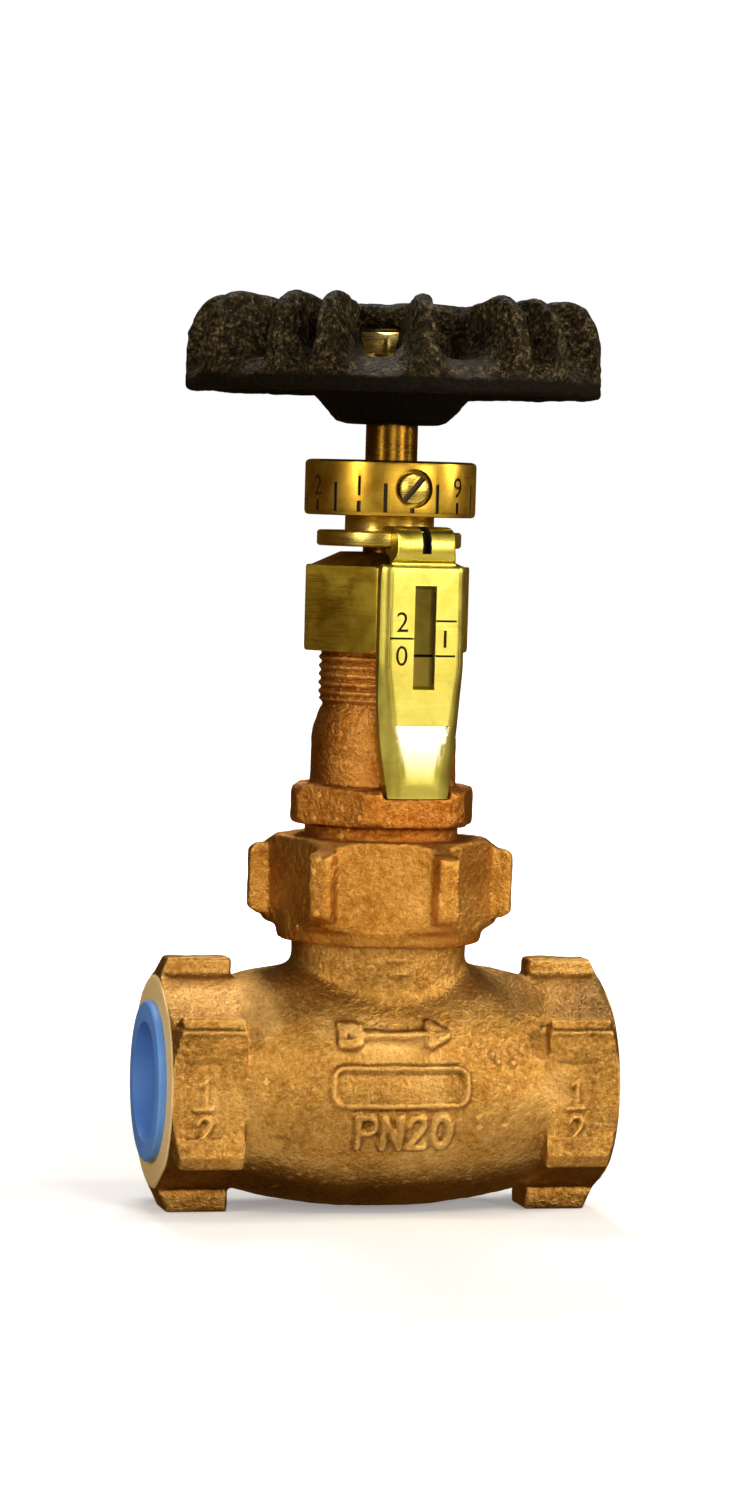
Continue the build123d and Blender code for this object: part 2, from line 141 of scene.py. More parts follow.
def noise3(p, scale, seed=0):
    """Smooth value noise in -1..1 at points p (mm) with cells of size scale (mm)."""
    q = p / scale
    i = np.floor(q).astype(np.int64)
    f = q - i
    u = f * f * f * (f * (f * 6 - 15) + 10)
    out = np.zeros(len(p))
    for dx in (0, 1):
        wx = u[:, 0] if dx else 1 - u[:, 0]
        for dy in (0, 1):
            wy = u[:, 1] if dy else 1 - u[:, 1]
            for dz in (0, 1):
                wz = u[:, 2] if dz else 1 - u[:, 2]
                out += wx * wy * wz * _hash(i[:, 0] + dx, i[:, 1] + dy, i[:, 2] + dz, seed)
    return out


def fbm(p, scale, octaves=3, seed=0):
    out = np.zeros(len(p))
    amp = 1.0
    for k in range(octaves):
        out += amp * noise3(p + 17.3 * k, scale / (2 ** k), seed + k)
        amp *= 0.5
    return out


# ---------------------------------------------------------------- mesh helpers (mm in, metres out)
def new_obj(name, verts, faces, smooth=True):
    me = bpy.data.meshes.new(name)
    me.from_pydata([tuple(float(c) * MM for c in v) for v in verts], [], [tuple(f) for f in faces])
    me.validate()
    me.update()
    if smooth:
        me.polygons.foreach_set("use_smooth", [True] * len(me.polygons))
    o = bpy.data.objects.new(name, me)
    scene.collection.objects.link(o)
    return o


def get_co(o):
    co = np.zeros(len(o.data.vertices) * 3)
    o.data.vertices.foreach_get("co", co)
    return co.reshape(-1, 3) / MM


def set_co(o, co):
    o.data.vertices.foreach_set("co", (co * MM).reshape(-1))
    o.data.update()


def get_no(o):
    no = np.zeros(len(o.data.vertices) * 3)
    o.data.vertices.foreach_get("normal", no)
    return no.reshape(-1, 3)


def bake_modifiers(o):
    dg = bpy.context.evaluated_depsgraph_get()
    dg.update()
    me = bpy.data.meshes.new_from_object(o.evaluated_get(dg))
    old = o.data
    o.modifiers.clear()
    o.data = me
    if old.users == 0:
        bpy.data.meshes.remove(old)
    return o


def remesh(o, size_mm):
    md = o.modifiers.new("r", "REMESH")
    md.mode = "VOXEL"
    md.voxel_size = size_mm * MM
    md.use_smooth_shade = True
    return bake_modifiers(o)


def boolean(o, tool, op="DIFFERENCE", solver="EXACT", drop=True):
    md = o.modifiers.new("b", "BOOLEAN")
    md.object = tool
    md.operation = op
    md.solver = solver
    bake_modifiers(o)
    if drop:
        bpy.data.objects.remove(tool)
    return o


def edges_of(o):
    e = np.zeros(len(o.data.edges) * 2, np.int64)
    o.data.edges.foreach_get("vertices", e)
    return e.reshape(-1, 2)


def laplacian(o, iters, weight=0.5, mask=None):
    """Taubin smoothing with a per-vertex mask in 0..1."""
    co = get_co(o)
    e = edges_of(o)
    n = len(co)
    deg = np.bincount(e.ravel(), minlength=n).astype(float)
    deg[deg == 0] = 1
    mk = np.ones(n) if mask is None else mask(co)
    for it in range(iters):
        for w in (weight, -weight * 0.3):
            acc = np.zeros_like(co)
            for c in range(3):
                acc[:, c] = np.bincount(e[:, 0], co[e[:, 1], c], n) + np.bincount(e[:, 1], co[e[:, 0], c], n)
            d = acc / deg[:, None] - co
            co += (w * mk)[:, None] * d
    set_co(o, co)


def cad_copy(node, name):
    o = bpy.data.objects.new(name, NODES[node].data.copy())
    scene.collection.objects.link(o)
    bm = bmesh.new()
    bm.from_mesh(o.data)
    bmesh.ops.remove_doubles(bm, verts=bm.verts, dist=1e-6)
    bm.to_mesh(o.data)
    bm.free()
    o.data.materials.clear()
    return o


def lathe(name, profile, seg=96, close=True):
    """Closed solid of revolution about Z from (r, z) points in order. Points with r = 0 become poles."""
    verts, faces, rows = [], [], []
    for r, z in profile:
        if r <= 1e-9:
            rows.append([len(verts)])
            verts.append((0, 0, z))
        else:
            rows.append(list(range(len(verts), len(verts) + seg)))
            for k in range(seg):
                a = 2 * pi * k / seg
                verts.append((r * cos(a), r * sin(a), z))
    n = len(rows)
    for i in range(n if close else n - 1):
        a, b = rows[i], rows[(i + 1) % n]
        if len(a) == 1 and len(b) == 1:
            continue
        for k in range(seg):
            k2 = (k + 1) % seg
            if len(a) == 1:
                faces.append((a[0], b[k2], b[k]))
            elif len(b) == 1:
                faces.append((a[k], a[k2], b[0]))
            else:
                faces.append((a[k], a[k2], b[k2], b[k]))
    return new_obj(name, verts, faces)


def join(objs, name):
    """Joins meshes into the first one."""
    bm = bmesh.new()
    for o in objs:
        me = o.data.copy()
        me.transform(o.matrix_world)
        bm.from_mesh(me)
        bpy.data.meshes.remove(me)
    out = bpy.data.meshes.new(name)
    bm.to_mesh(out)
    bm.free()
    for o in objs:
        bpy.data.objects.remove(o)
    o = bpy.data.objects.new(name, out)
    scene.collection.objects.link(o)
    return o


def fix_normals(o):
    bm = bmesh.new()
    bm.from_mesh(o.data)
    bmesh.ops.recalc_face_normals(bm, faces=bm.faces)
    bm.to_mesh(o.data)
    bm.free()
    return o


def spin(o, az):
    o.data.transform(Matrix.Rotation(radians(az), 4, "Z"))
    return o


def shade(o, mat, angle=None):
    o.data.materials.clear()
    o.data.materials.append(mat)
    if angle is None:
        o.data.polygons.foreach_set("use_smooth", [True] * len(o.data.polygons))
    else:
        mesh_sharp(o, angle)
    return o


def mesh_sharp(o, angle):
    """Smooth shading with edges over the angle marked sharp."""
    me = o.data
    me.polygons.foreach_set("use_smooth", [True] * len(me.polygons))
    bm = bmesh.new()
    bm.from_mesh(me)
    lim = radians(angle)
    for e in bm.edges:
        if len(e.link_faces) == 2:
            e.smooth = e.calc_face_angle(0.0) < lim
        else:
            e.smooth = False
    bm.to_mesh(me)
    bm.free()


# ---------------------------------------------------------------- material helpers
class Mat:
    def __init__(self, name):
        self.m = bpy.data.materials.new(name)
        self.m.use_nodes = True
        self.t = self.m.node_tree
        self.n, self.l = self.t.nodes, self.t.links
        self.b = self.n["Principled BSDF"]
        self.tc = self.n.new("ShaderNodeTexCoord")
        self.obj = self.tc.outputs["Object"]

    def node(self, kind, **kw):
        n = self.n.new(kind)
        for k, v in kw.items():
            if k in ("operation", "data_type", "blend_type", "noise_type", "feature", "wave_type", "bands_direction", "distance", "noise_dimensions", "musgrave_type", "mode", "clamp", "interpolation_type"):
                setattr(n, k, v)
        return n

    def mapping(self, scale=(1, 1, 1), rot=(0, 0, 0), loc=(0, 0, 0), src=None):
        n = self.n.new("ShaderNodeMapping")
        n.inputs["Scale"].default_value = scale
        n.inputs["Rotation"].default_value = rot
        n.inputs["Location"].default_value = loc
        self.l.new(src or self.obj, n.inputs["Vector"])
        return n.outputs[0]

    def noise(self, size_mm, detail=3, rough=0.5, vec=None, dist=0.0):
        n = self.n.new("ShaderNodeTexNoise")
        n.inputs["Scale"].default_value = 1.0 / (size_mm * MM)
        n.inputs["Detail"].default_value = detail
        n.inputs["Roughness"].default_value = rough
        n.inputs["Distortion"].default_value = dist
        self.l.new(vec or self.obj, n.inputs["Vector"])
        return n.outputs[0]

    def voronoi(self, size_mm, vec=None, feature="F1"):
        n = self.n.new("ShaderNodeTexVoronoi")
        n.feature = feature
        n.inputs["Scale"].default_value = 1.0 / (size_mm * MM)
        self.l.new(vec or self.obj, n.inputs["Vector"])
        return n.outputs["Distance"]

    def ramp(self, fac, stops):
        n = self.n.new("ShaderNodeValToRGB")
        e = n.color_ramp.elements
        while len(e) < len(stops):
            e.new(0.5)
        for i, (p, c) in enumerate(stops):
            e[i].position = p
            e[i].color = tuple(c) + (1,) if len(c) == 3 else c
        self.l.new(fac, n.inputs[0])
        return n.outputs[0]

    def mix(self, fac, a, b, blend="MIX"):
        n = self.n.new("ShaderNodeMix")
        n.data_type = "RGBA"
        n.blend_type = blend
        for sock, v in ((n.inputs[0], fac), (n.inputs[6], a), (n.inputs[7], b)):
            if isinstance(v, (int, float)):
                sock.default_value = v
            elif isinstance(v, tuple):
                sock.default_value = v + (1,) if len(v) == 3 else v
            else:
                self.l.new(v, sock)
        return n.outputs[2]

    def math(self, op, a, b=None, c=None, clamp=False):
        n = self.n.new("ShaderNodeMath")
        n.operation = op
        n.use_clamp = clamp
        for i, v in enumerate((a, b, c)):
            if v is None:
                continue
            if isinstance(v, (int, float)):
                n.inputs[i].default_value = v
            else:
                self.l.new(v, n.inputs[i])
        return n.outputs[0]

    def maprange(self, v, a, b, c, d):
        n = self.n.new("ShaderNodeMapRange")
        self.l.new(v, n.inputs[0])
        for i, x in enumerate((a, b, c, d)):
            n.inputs[i + 1].default_value = x
        return n.outputs[0]

    def pointy(self):
        g = self.n.new("ShaderNodeNewGeometry")
        return g.outputs["Pointiness"]

    def xyz(self, src=None):
        s = self.n.new("ShaderNodeSeparateXYZ")
        self.l.new(src or self.obj, s.inputs[0])
        return s.outputs

    def bump(self, height, strength, dist_mm, normal=None):
        n = self.n.new("ShaderNodeBump")
        n.inputs["Strength"].default_value = strength
        n.inputs["Distance"].default_value = dist_mm * MM
        self.l.new(height, n.inputs["Height"])
        if normal is not None:
            self.l.new(normal, n.inputs["Normal"])
        return n.outputs[0]

    def set(self, **kw):
        for k, v in kw.items():
            s = self.b.inputs[k]
            if isinstance(v, (int, float)):
                s.default_value = v
            elif isinstance(v, tuple):
                s.default_value = v + (1,) if len(v) == 3 else v
            else:
                self.l.new(v, s)
        return self


def cast_metal(name, dark, mid, light, stain, rough=(0.29, 0.46), grain_mm=0.9, bump=0.35, machined=None, grey=0.3):
    """As-cast bronze: blotchy colour, sandy grain, darker in the hollows (patina plus painted shade) and a painted
    highlight on the convex edges.
    """
    M = Mat(name)
    big = M.noise(14, 4, 0.6, dist=0.4)
    fine = M.noise(grain_mm, 5, 0.65)
    speck = M.noise(0.35, 2, 0.5)
    base = M.ramp(big, [(0.30, dark), (0.52, mid), (0.72, light)])
    base = M.mix(M.ramp(fine, [(0.35, (0, 0, 0)), (0.75, (1, 1, 1))]), base, light, "MIX") if False else base
    f2 = M.maprange(fine, 0.36, 0.66, 0.0, 1.0)
    base = M.mix(M.math("MULTIPLY", f2, 0.45), base, light)
    # stains
    st = M.noise(9, 5, 0.7, vec=M.mapping(loc=(0.13, 0.21, 0.05)), dist=1.2)
    stf = M.maprange(st, 0.56, 0.74, 0.0, grey)
    base = M.mix(stf, base, stain)
    # hollows and edges
    # hollows: painted shade, partly patina; convex edges: painted highlight
    pt = M.pointy()
    hollow_patina_and_shade = M.maprange(pt, 0.488, 0.425, 0.0, 0.88)
    base = M.mix(hollow_patina_and_shade, base, tuple(c * 0.30 for c in dark))
    # painted highlight: convex edges lightened towards the light bronze colour
    edge = M.maprange(pt, 0.516, 0.575, 0.0, 0.75)
    base = M.mix(edge, base, tuple(min(1, c * 1.25) for c in light))
    r = M.maprange(fine, 0.3, 0.7, rough[1], rough[0])
    grit = M.noise(0.55, 3, 0.7)
    base = M.mix(M.maprange(grit, 0.56, 0.70, 0.0, 0.50), base, tuple(min(1, c * 1.15) for c in light))
    base = M.mix(M.maprange(grit, 0.46, 0.34, 0.0, 0.40), base, tuple(c * 0.55 for c in dark))
    h1 = M.bump(M.math("ADD", M.math("MULTIPLY", fine, 1.0), M.math("ADD", M.math("MULTIPLY", speck, 0.30), M.math("MULTIPLY", grit, 0.75))), bump, 0.34)
    M.set(**{"Base Color": base, "Metallic": 1.0, "Roughness": r, "Normal": h1})
    return M


def turned_metal(name, c0, c1, rough=(0.16, 0.34), lines_mm=0.12, bump=0.12, axis="Z", stain=(0.25, 0.15, 0.04), stain_amt=0.35):
    """Lathe-turned brass: fine rings round the axis, light tarnish."""
    M = Mat(name)
    sc = (1, 1, 60) if axis == "Z" else (60, 1, 1)
    ring = M.noise(6.0, 3, 0.7, vec=M.mapping(scale=sc))
    blot = M.noise(5.0, 4, 0.6, dist=0.5)
    base = M.mix(M.maprange(blot, 0.35, 0.65, 0, 1), c0, c1)
    tarn = M.noise(3.2, 5, 0.7, vec=M.mapping(loc=(0.31, 0.11, 0.02)), dist=0.8)
    base = M.mix(M.maprange(tarn, 0.55, 0.75, 0, stain_amt), base, stain)
    base = M.mix(M.maprange(ring, 0.30, 0.70, 0.0, 0.28), base, tuple(c * 0.62 for c in c0))
    # painted highlight: convex edges lightened towards the light brass colour
    pt = M.pointy()
    base = M.mix(M.maprange(pt, 0.52, 0.60, 0.0, 0.5), base, tuple(min(1, c * 1.25) for c in c1))
    r = M.math("ADD", M.maprange(ring, 0.3, 0.7, rough[0], rough[1]), M.maprange(blot, 0.3, 0.7, 0.0, 0.06))
    M.set(**{"Base Color": base, "Metallic": 1.0, "Roughness": r, "Normal": M.bump(ring, bump, 0.05)})
    return M


mat_body = cast_metal("cast_body_bronze", (0.15, 0.058, 0.006), (0.37, 0.165, 0.021), (0.70, 0.41, 0.12), (0.15, 0.10, 0.04), bump=0.65)
mat_union = cast_metal("cast_union_bronze", (0.19, 0.052, 0.004), (0.42, 0.168, 0.019), (0.74, 0.39, 0.09), (0.14, 0.05, 0.008), grain_mm=1.2, bump=0.75)
mat_bonnet = cast_metal("cast_bonnet_bronze", (0.17, 0.038, 0.003), (0.38, 0.110, 0.007), (0.76, 0.36, 0.08), (0.16, 0.045, 0.006), grain_mm=1.0, bump=0.8)
mat_turned = turned_metal("turned_brass_inner", (0.52, 0.36, 0.10), (0.66, 0.50, 0.16))
mat_nut = turned_metal("packing_nut_brass", (0.46, 0.29, 0.02), (0.66, 0.48, 0.055), rough=(0.22, 0.38), stain=(0.16, 0.085, 0.006), stain_amt=0.55)
mat_dial = turned_metal("dial_brass_turned", (0.48, 0.255, 0.020), (0.66, 0.42, 0.048), rough=(0.25, 0.38))
mat_collar = turned_metal("collar_brass_turned", (0.70, 0.50, 0.08), (0.84, 0.66, 0.15))
mat_stem = turned_metal("stem_bronze_turned", (0.17, 0.075, 0.007), (0.26, 0.135, 0.014))
mat_screw = turned_metal("screw_brass", (0.66, 0.46, 0.07), (0.82, 0.62, 0.12))
mat_plate = turned_metal("plate_brass_bright", (0.50, 0.42, 0.066), (0.63, 0.55, 0.115), rough=(0.27, 0.40))
mat_slide = turned_metal("slide_brass_bright", (0.64, 0.52, 0.065), (0.78, 0.66, 0.11), rough=(0.22, 0.34))


def packing_mat():
    M = Mat("graphite_packing")
    w = M.noise(0.8, 3, 0.6, vec=M.mapping(scale=(1, 1, 3)))
    M.set(**{"Base Color": M.ramp(w, [(0.3, (0.012, 0.012, 0.013)), (0.7, (0.06, 0.06, 0.062))]), "Roughness": M.maprange(w, 0.3, 0.7, 0.75, 0.5),
             "Normal": M.bump(w, 0.5, 0.2)})
    return M


def wheel_mat():
    M = Mat("black_enamel_on_casting")
    g = M.noise(1.4, 5, 0.66)
    g2 = M.noise(0.62, 3, 0.7)
    g3 = M.noise(0.33, 2, 0.6)
    z = M.xyz()[2]
    v = M.math("ADD", M.math("MULTIPLY", g, 0.35), M.math("ADD", M.math("MULTIPLY", g2, 0.45), M.math("MULTIPLY", g3, 0.20)))
    # random tone of the enamelled casting; the palest stops are painted glints on the grain
    base = M.ramp(v, [(0.44, (0.0010, 0.0007, 0.0004)), (0.50, (0.016, 0.0105, 0.0045)), (0.55, (0.060, 0.042, 0.019)), (0.62, (0.19, 0.145, 0.075))])
    # painted shade: below z = 127.4 mm the skirt is painted near black (and made rougher)
    low = M.maprange(z, 0.1274, 0.1284, 1.0, 0.0)
    base = M.mix(low, base, (0.0008, 0.0006, 0.0005))
    # painted shade: surfaces facing upward above z = 131.5 mm are painted near black
    nz = M.xyz(M.n.new("ShaderNodeNewGeometry").outputs["True Normal"])[2]
    base = M.mix(M.math("MULTIPLY", M.maprange(nz, 0.45, 0.85, 0.0, 0.92), M.maprange(z, 0.1315, 0.1335, 0.0, 1.0)), base, (0.0012, 0.0009, 0.0006))
    h = M.math("ADD", g, M.math("MULTIPLY", g2, 0.6))
    r = M.math("MAXIMUM", M.maprange(g2, 0.3, 0.7, 0.30, 0.50), M.math("MULTIPLY", low, 0.55))
    M.set(**{"Base Color": base, "Metallic": 0.0, "Roughness": r, "Normal": M.bump(h, 1.0, 0.8)})
    M.b.inputs["Specular IOR Level"].default_value = 0.13
    M.b.inputs["Specular Tint"].default_value = (1.0, 0.80, 0.46, 1)
    return M


def plastic_mat():
    M = Mat("blue_polyethylene")
    a = M.noise(6, 3, 0.5)
    s = M.noise(0.25, 2, 0.5)
    x = M.xyz()
    base = M.ramp(a, [(0.3, (0.10, 0.27, 0.74)), (0.7, (0.13, 0.33, 0.82))])
    M.set(**{"Base Color": base, "Roughness": M.maprange(a, 0.3, 0.7, 0.36, 0.46), "Normal": M.bump(s, 0.10, 0.05)})
    M.b.inputs["Subsurface Weight"].default_value = 0.12
    M.b.inputs["Subsurface Radius"].default_value = (0.002, 0.003, 0.006)
    M.b.inputs["Subsurface Scale"].default_value = 0.5
    return M


mat_packing = packing_mat()
mat_wheel = wheel_mat()
mat_blue = plastic_mat()


def place(o, name, body, nodes=(), mat=None, angle=None):
    o.name = name
    if mat is not None:
        shade(o, mat.m, angle)
    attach(o, body)
    if nodes:
        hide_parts(*nodes)
    return o


# ---------------------------------------------------------------- castings from the solids
def casting(node, name, body, mat, voxel, smooth, grain, mask=None, lump=0.0, seed=1):
    o = cad_copy(node, name)
    remesh(o, voxel)
    laplacian(o, smooth, 0.5, mask)
    co, no = get_co(o), get_no(o)
    mk = np.ones(len(co)) if mask is None else mask(co)
    d = grain * fbm(co, 1.3, 3, seed) + lump * fbm(co, 7.0, 2, seed + 9)
    set_co(o, co + no * (d * mk)[:, None])
    place(o, name, body, [node], mat)
    return o


def smoothstep(x, a, b):
    t = np.clip((x - a) / (b - a), 0, 1)
    return t * t * (3 - 2 * t)


def body_mask(co):
    x, y, z = co[:, 0], co[:, 1], co[:, 2] - RUN_Z
    r = np.sqrt(y * y + z * z)
    m = np.ones(len(co))
    m *= smoothstep(35.0 - np.abs(x), 0.2, 1.0) * (r < 17) + (r >= 17)
    m *= np.where((r < 10.9) & (np.abs(x) > 20), 0, 1)
    rs = np.sqrt(co[:, 0] ** 2 + y * y)
    m *= np.where((rs < 13.6) & (co[:, 2] > 42), 0, 1)
    m *= smoothstep(co[:, 2], 0.0, 0.6)
    return m


GLYPHS = {
    "1": [[(0.08, 0.78), (0.34, 1.0), (0.34, 0.0)]],
    "2": [[(0.04, 0.76), (0.12, 0.93), (0.31, 1.0), (0.50, 0.92), (0.56, 0.74), (0.47, 0.52), (0.04, 0.0), (0.60, 0.0)]],
    "0": [[(0.30 + 0.28 * cos(t * pi / 8), 0.5 + 0.5 * sin(t * pi / 8)) for t in range(17)]],
    "P": [[(0.0, 0.0), (0.0, 1.0), (0.36, 1.0), (0.52, 0.91), (0.57, 0.74), (0.52, 0.57), (0.36, 0.48), (0.0, 0.48)]],
    "N": [[(0.0, 0.0), (0.0, 1.0), (0.56, 0.0), (0.56, 1.0)]],
}


def strokes_of(text, x0, z0, h, gap=0.30, squeeze=1.0):
    out = []
    for ch in text:
        wmax = 0
        for st in GLYPHS[ch]:
            out.append([(x0 + p[0] * h * squeeze, z0 + p[1] * h) for p in st])
            wmax = max(wmax, max(p[0] for p in st))
        x0 += (wmax + gap) * h * squeeze
    return out


def stroke_dist(x, z, strokes):
    d = np.full(len(x), 99.0)
    for st in strokes:
        for (ax, az), (bx, bz) in zip(st[:-1], st[1:]):
            vx, vz = bx - ax, bz - az
            t = np.clip(((x - ax) * vx + (z - az) * vz) / (vx * vx + vz * vz), 0, 1)
            d = np.minimum(d, np.hypot(x - ax - t * vx, z - az - t * vz))
    return d


def raised(dist, r, soft):
    return 1 - smoothstep(dist, r - soft, r + soft)


def body_relief(co, no):
    x, y, z = co[:, 0], co[:, 1], co[:, 2]
    rr = np.sqrt(y * y + (z - RUN_Z) ** 2)
    front = (y < -6) & (rr > 12.5)
    h = np.zeros(len(co))
    xi, zi = x[front], z[front]
    wob = 0.18 * noise3(co[front], 2.5, 31)
    hh = np.zeros(len(xi))
    # flow arrow: block tail, thin shaft, barbed head
    tail = np.maximum(np.abs(xi + 8.0) - 1.75, np.abs(zi - 28.5) - 1.75 + 0.35 * np.maximum(0, xi + 7.6))
    notch = np.hypot(xi + 8.3, zi - 28.4)
    shaft = stroke_dist(xi, zi, [[(-7.0, 28.6), (4.6, 28.7)]])
    head = stroke_dist(xi, zi, [[(4.2, 30.0), (6.9, 28.7), (4.2, 27.3), (4.2, 30.0)], [(4.6, 28.7), (6.5, 28.7)]])
    hh = np.maximum(hh, 0.72 * raised(tail + wob, 0.0, 0.30))
    hh -= 0.55 * raised(notch, 0.35, 0.25)
    hh = np.maximum(hh, 0.66 * raised(shaft + wob, 0.50, 0.30))
    hh = np.maximum(hh, 0.74 * raised(head + wob, 0.62, 0.32))
    # plain raised cartouche, then the pressure class
    q = np.maximum(np.abs(xi + 0.3) - 8.6, 0), np.maximum(np.abs(zi - 21.0) - 1.0, 0)
    bx = np.hypot(q[0], q[1]) - 1.75
    hh = np.maximum(hh, 0.68 * raised(np.abs(bx) + wob * 0.7, 0.48, 0.30))
    num = stroke_dist(xi, zi, strokes_of("PN20", -6.7, 11.9, 4.6, 0.26, 1.0))
    hh = np.maximum(hh, 0.78 * raised(num + wob, 0.58, 0.32))
    # size mark on the front flats
    for xc in (-30.0, 27.8):
        d1 = stroke_dist(xi, zi, strokes_of("1", xc - 0.9, 18.3, 3.4) + [[(xc - 1.3, 17.35), (xc + 1.3, 17.35)]] + strokes_of("2", xc - 1.0, 12.2, 3.9))
        win = np.maximum(np.abs(xi - xc) - 3.0, np.abs(zi - 18.8) - 5.9)
        hh = hh - 0.34 * raised(win + 0.4 * wob, -0.1, 0.35)
        hh = np.where(win < 0.0, np.maximum(hh, -0.34 + 0.60 * raised(d1 + 0.5 * wob, 0.36, 0.24)), hh)
        grv = np.maximum(np.abs(zi - 29.9 - 0.25 * wob) - 0.30, np.abs(xi - xc - (0.8 if xc > 0 else -0.2)) - 5.6)
        hh = hh - 0.42 * raised(grv, 0.12, 0.45)
    h[front] = hh
    # casting mark at the root of the neck, flecks beside the class mark
    nk = (y < -8) & (z > 34) & (z < 43)
    mk = stroke_dist(x[nk], z[nk], [[(-1.3, 39.6), (1.1, 39.7)], [(-1.0, 37.6), (1.2, 37.5)]])
    h[nk] += 0.26 * raised(mk, 0.40, 0.28)
    for fx_, fz_, fr_, fa_ in ((14.2, 25.8, 0.55, 0.3), (15.2, 24.6, 0.45, 0.28), (17.6, 24.4, 0.6, 0.3), (16.4, 15.6, 0.65, -0.3), (12.6, 27.0, 0.4, 0.2), (-18.4, 12.6, 0.7, -0.2)):
        h[front] += fa_ * raised(np.hypot(xi - fx_, zi - fz_), fr_, 0.35)
    return h


body = cad_copy("valve_body", "body_casting")
remesh(body, 0.33)
bco = get_co(body)
ends = np.abs(bco[:, 0]) > 23.2
lim_y = 16.45 + 1.6 * (1 - smoothstep(bco[:, 2], 8.4, 10.8) * (1 - smoothstep(bco[:, 2], 28.2, 30.2)))
bco[:, 1] = np.where(ends, np.clip(bco[:, 1], -lim_y, lim_y), bco[:, 1])
set_co(body, bco)
def fillet_mask(co):
    rs = np.sqrt(co[:, 0] ** 2 + co[:, 1] ** 2)
    return smoothstep(4.2 - np.abs(rs - 14.2), 0, 2.5) * smoothstep(co[:, 2], 30.5, 33.5) * smoothstep(43.6 - co[:, 2], 0.0, 1.5) * (rs > 11.8)
laplacian(body, 60, 0.6, fillet_mask)
laplacian(body, 9, 0.5, body_mask)
bco, bno = get_co(body), get_no(body)
bm_ = body_mask(bco)
bd = 0.055 * fbm(bco, 1.5, 3, 3) + 0.14 * fbm(bco, 8.0, 2, 12) + body_relief(bco, bno)
r_ = np.sqrt(bco[:, 1] ** 2 + (bco[:, 2] - RUN_Z) ** 2)
bco = bco + bno * (bd * bm_)[:, None]
bco[:, 2] = np.maximum(bco[:, 2], 0.0)
set_co(body, bco)
place(body, "body_casting", "casings", ["valve_body"], mat_body)
union = casting("union_nut", "union_casting", "casings", mat_union, 0.32, 8, 0.06, lambda co: ((co[:, 0] ** 2 + co[:, 1] ** 2) > 14.2 ** 2) * 1.0, 0.12, 5)
bonnet = casting("bonnet", "bonnet_casting", "casings", mat_bonnet, 0.28, 6, 0.05, lambda co: smoothstep(78.0 - co[:, 2], 0, 0.6) * ((co[:, 0] ** 2 + co[:, 1] ** 2) > 9.0 ** 2), 0.10, 7)
# the bore keeps a running clearance round the stem
bco = get_co(bonnet)
brr = np.hypot(bco[:, 0], bco[:, 1])
inner = (brr < 8.9) & (brr > 2.0)
grow = np.where(inner, (brr + 0.32) / np.maximum(brr, 1e-6), 1.0)
bco[:, 0] *= grow
bco[:, 1] *= grow
set_co(bonnet, bco)

# ---------------------------------------------------------------- handwheel
FIN_AZ = [WHEEL_AZ + 72 * k + o for k in range(5) for o in (0.0, 28.5, 43.5)]
WINDOW_AZ = [WHEEL_AZ + 72 * k + 72.0 for k in range(5)]


def curve_at(x, xs, ys):
    """Smooth monotone interpolation through points."""
    x = np.asarray(x, float)
    xs, ys = np.array(xs, float), np.array(ys, float)
    i = np.clip(np.searchsorted(xs, x) - 1, 0, len(xs) - 2)
    h = xs[1:] - xs[:-1]
    dl = (ys[1:] - ys[:-1]) / h
    m = np.zeros(len(xs))
    m[0], m[-1] = dl[0], dl[-1]
    for k in range(1, len(xs) - 1):
        m[k] = 0 if dl[k - 1] * dl[k] <= 0 else 2 * dl[k - 1] * dl[k] / (dl[k - 1] + dl[k])
    t = np.clip((x - xs[i]) / h[i], 0, 1)
    h00, h10 = 2 * t ** 3 - 3 * t ** 2 + 1, t ** 3 - 2 * t ** 2 + t
    h01, h11 = -2 * t ** 3 + 3 * t ** 2, t ** 3 - t ** 2
    return h00 * ys[i] + h10 * h[i] * m[i] + h01 * ys[i + 1] + h11 * h[i] * m[i + 1]


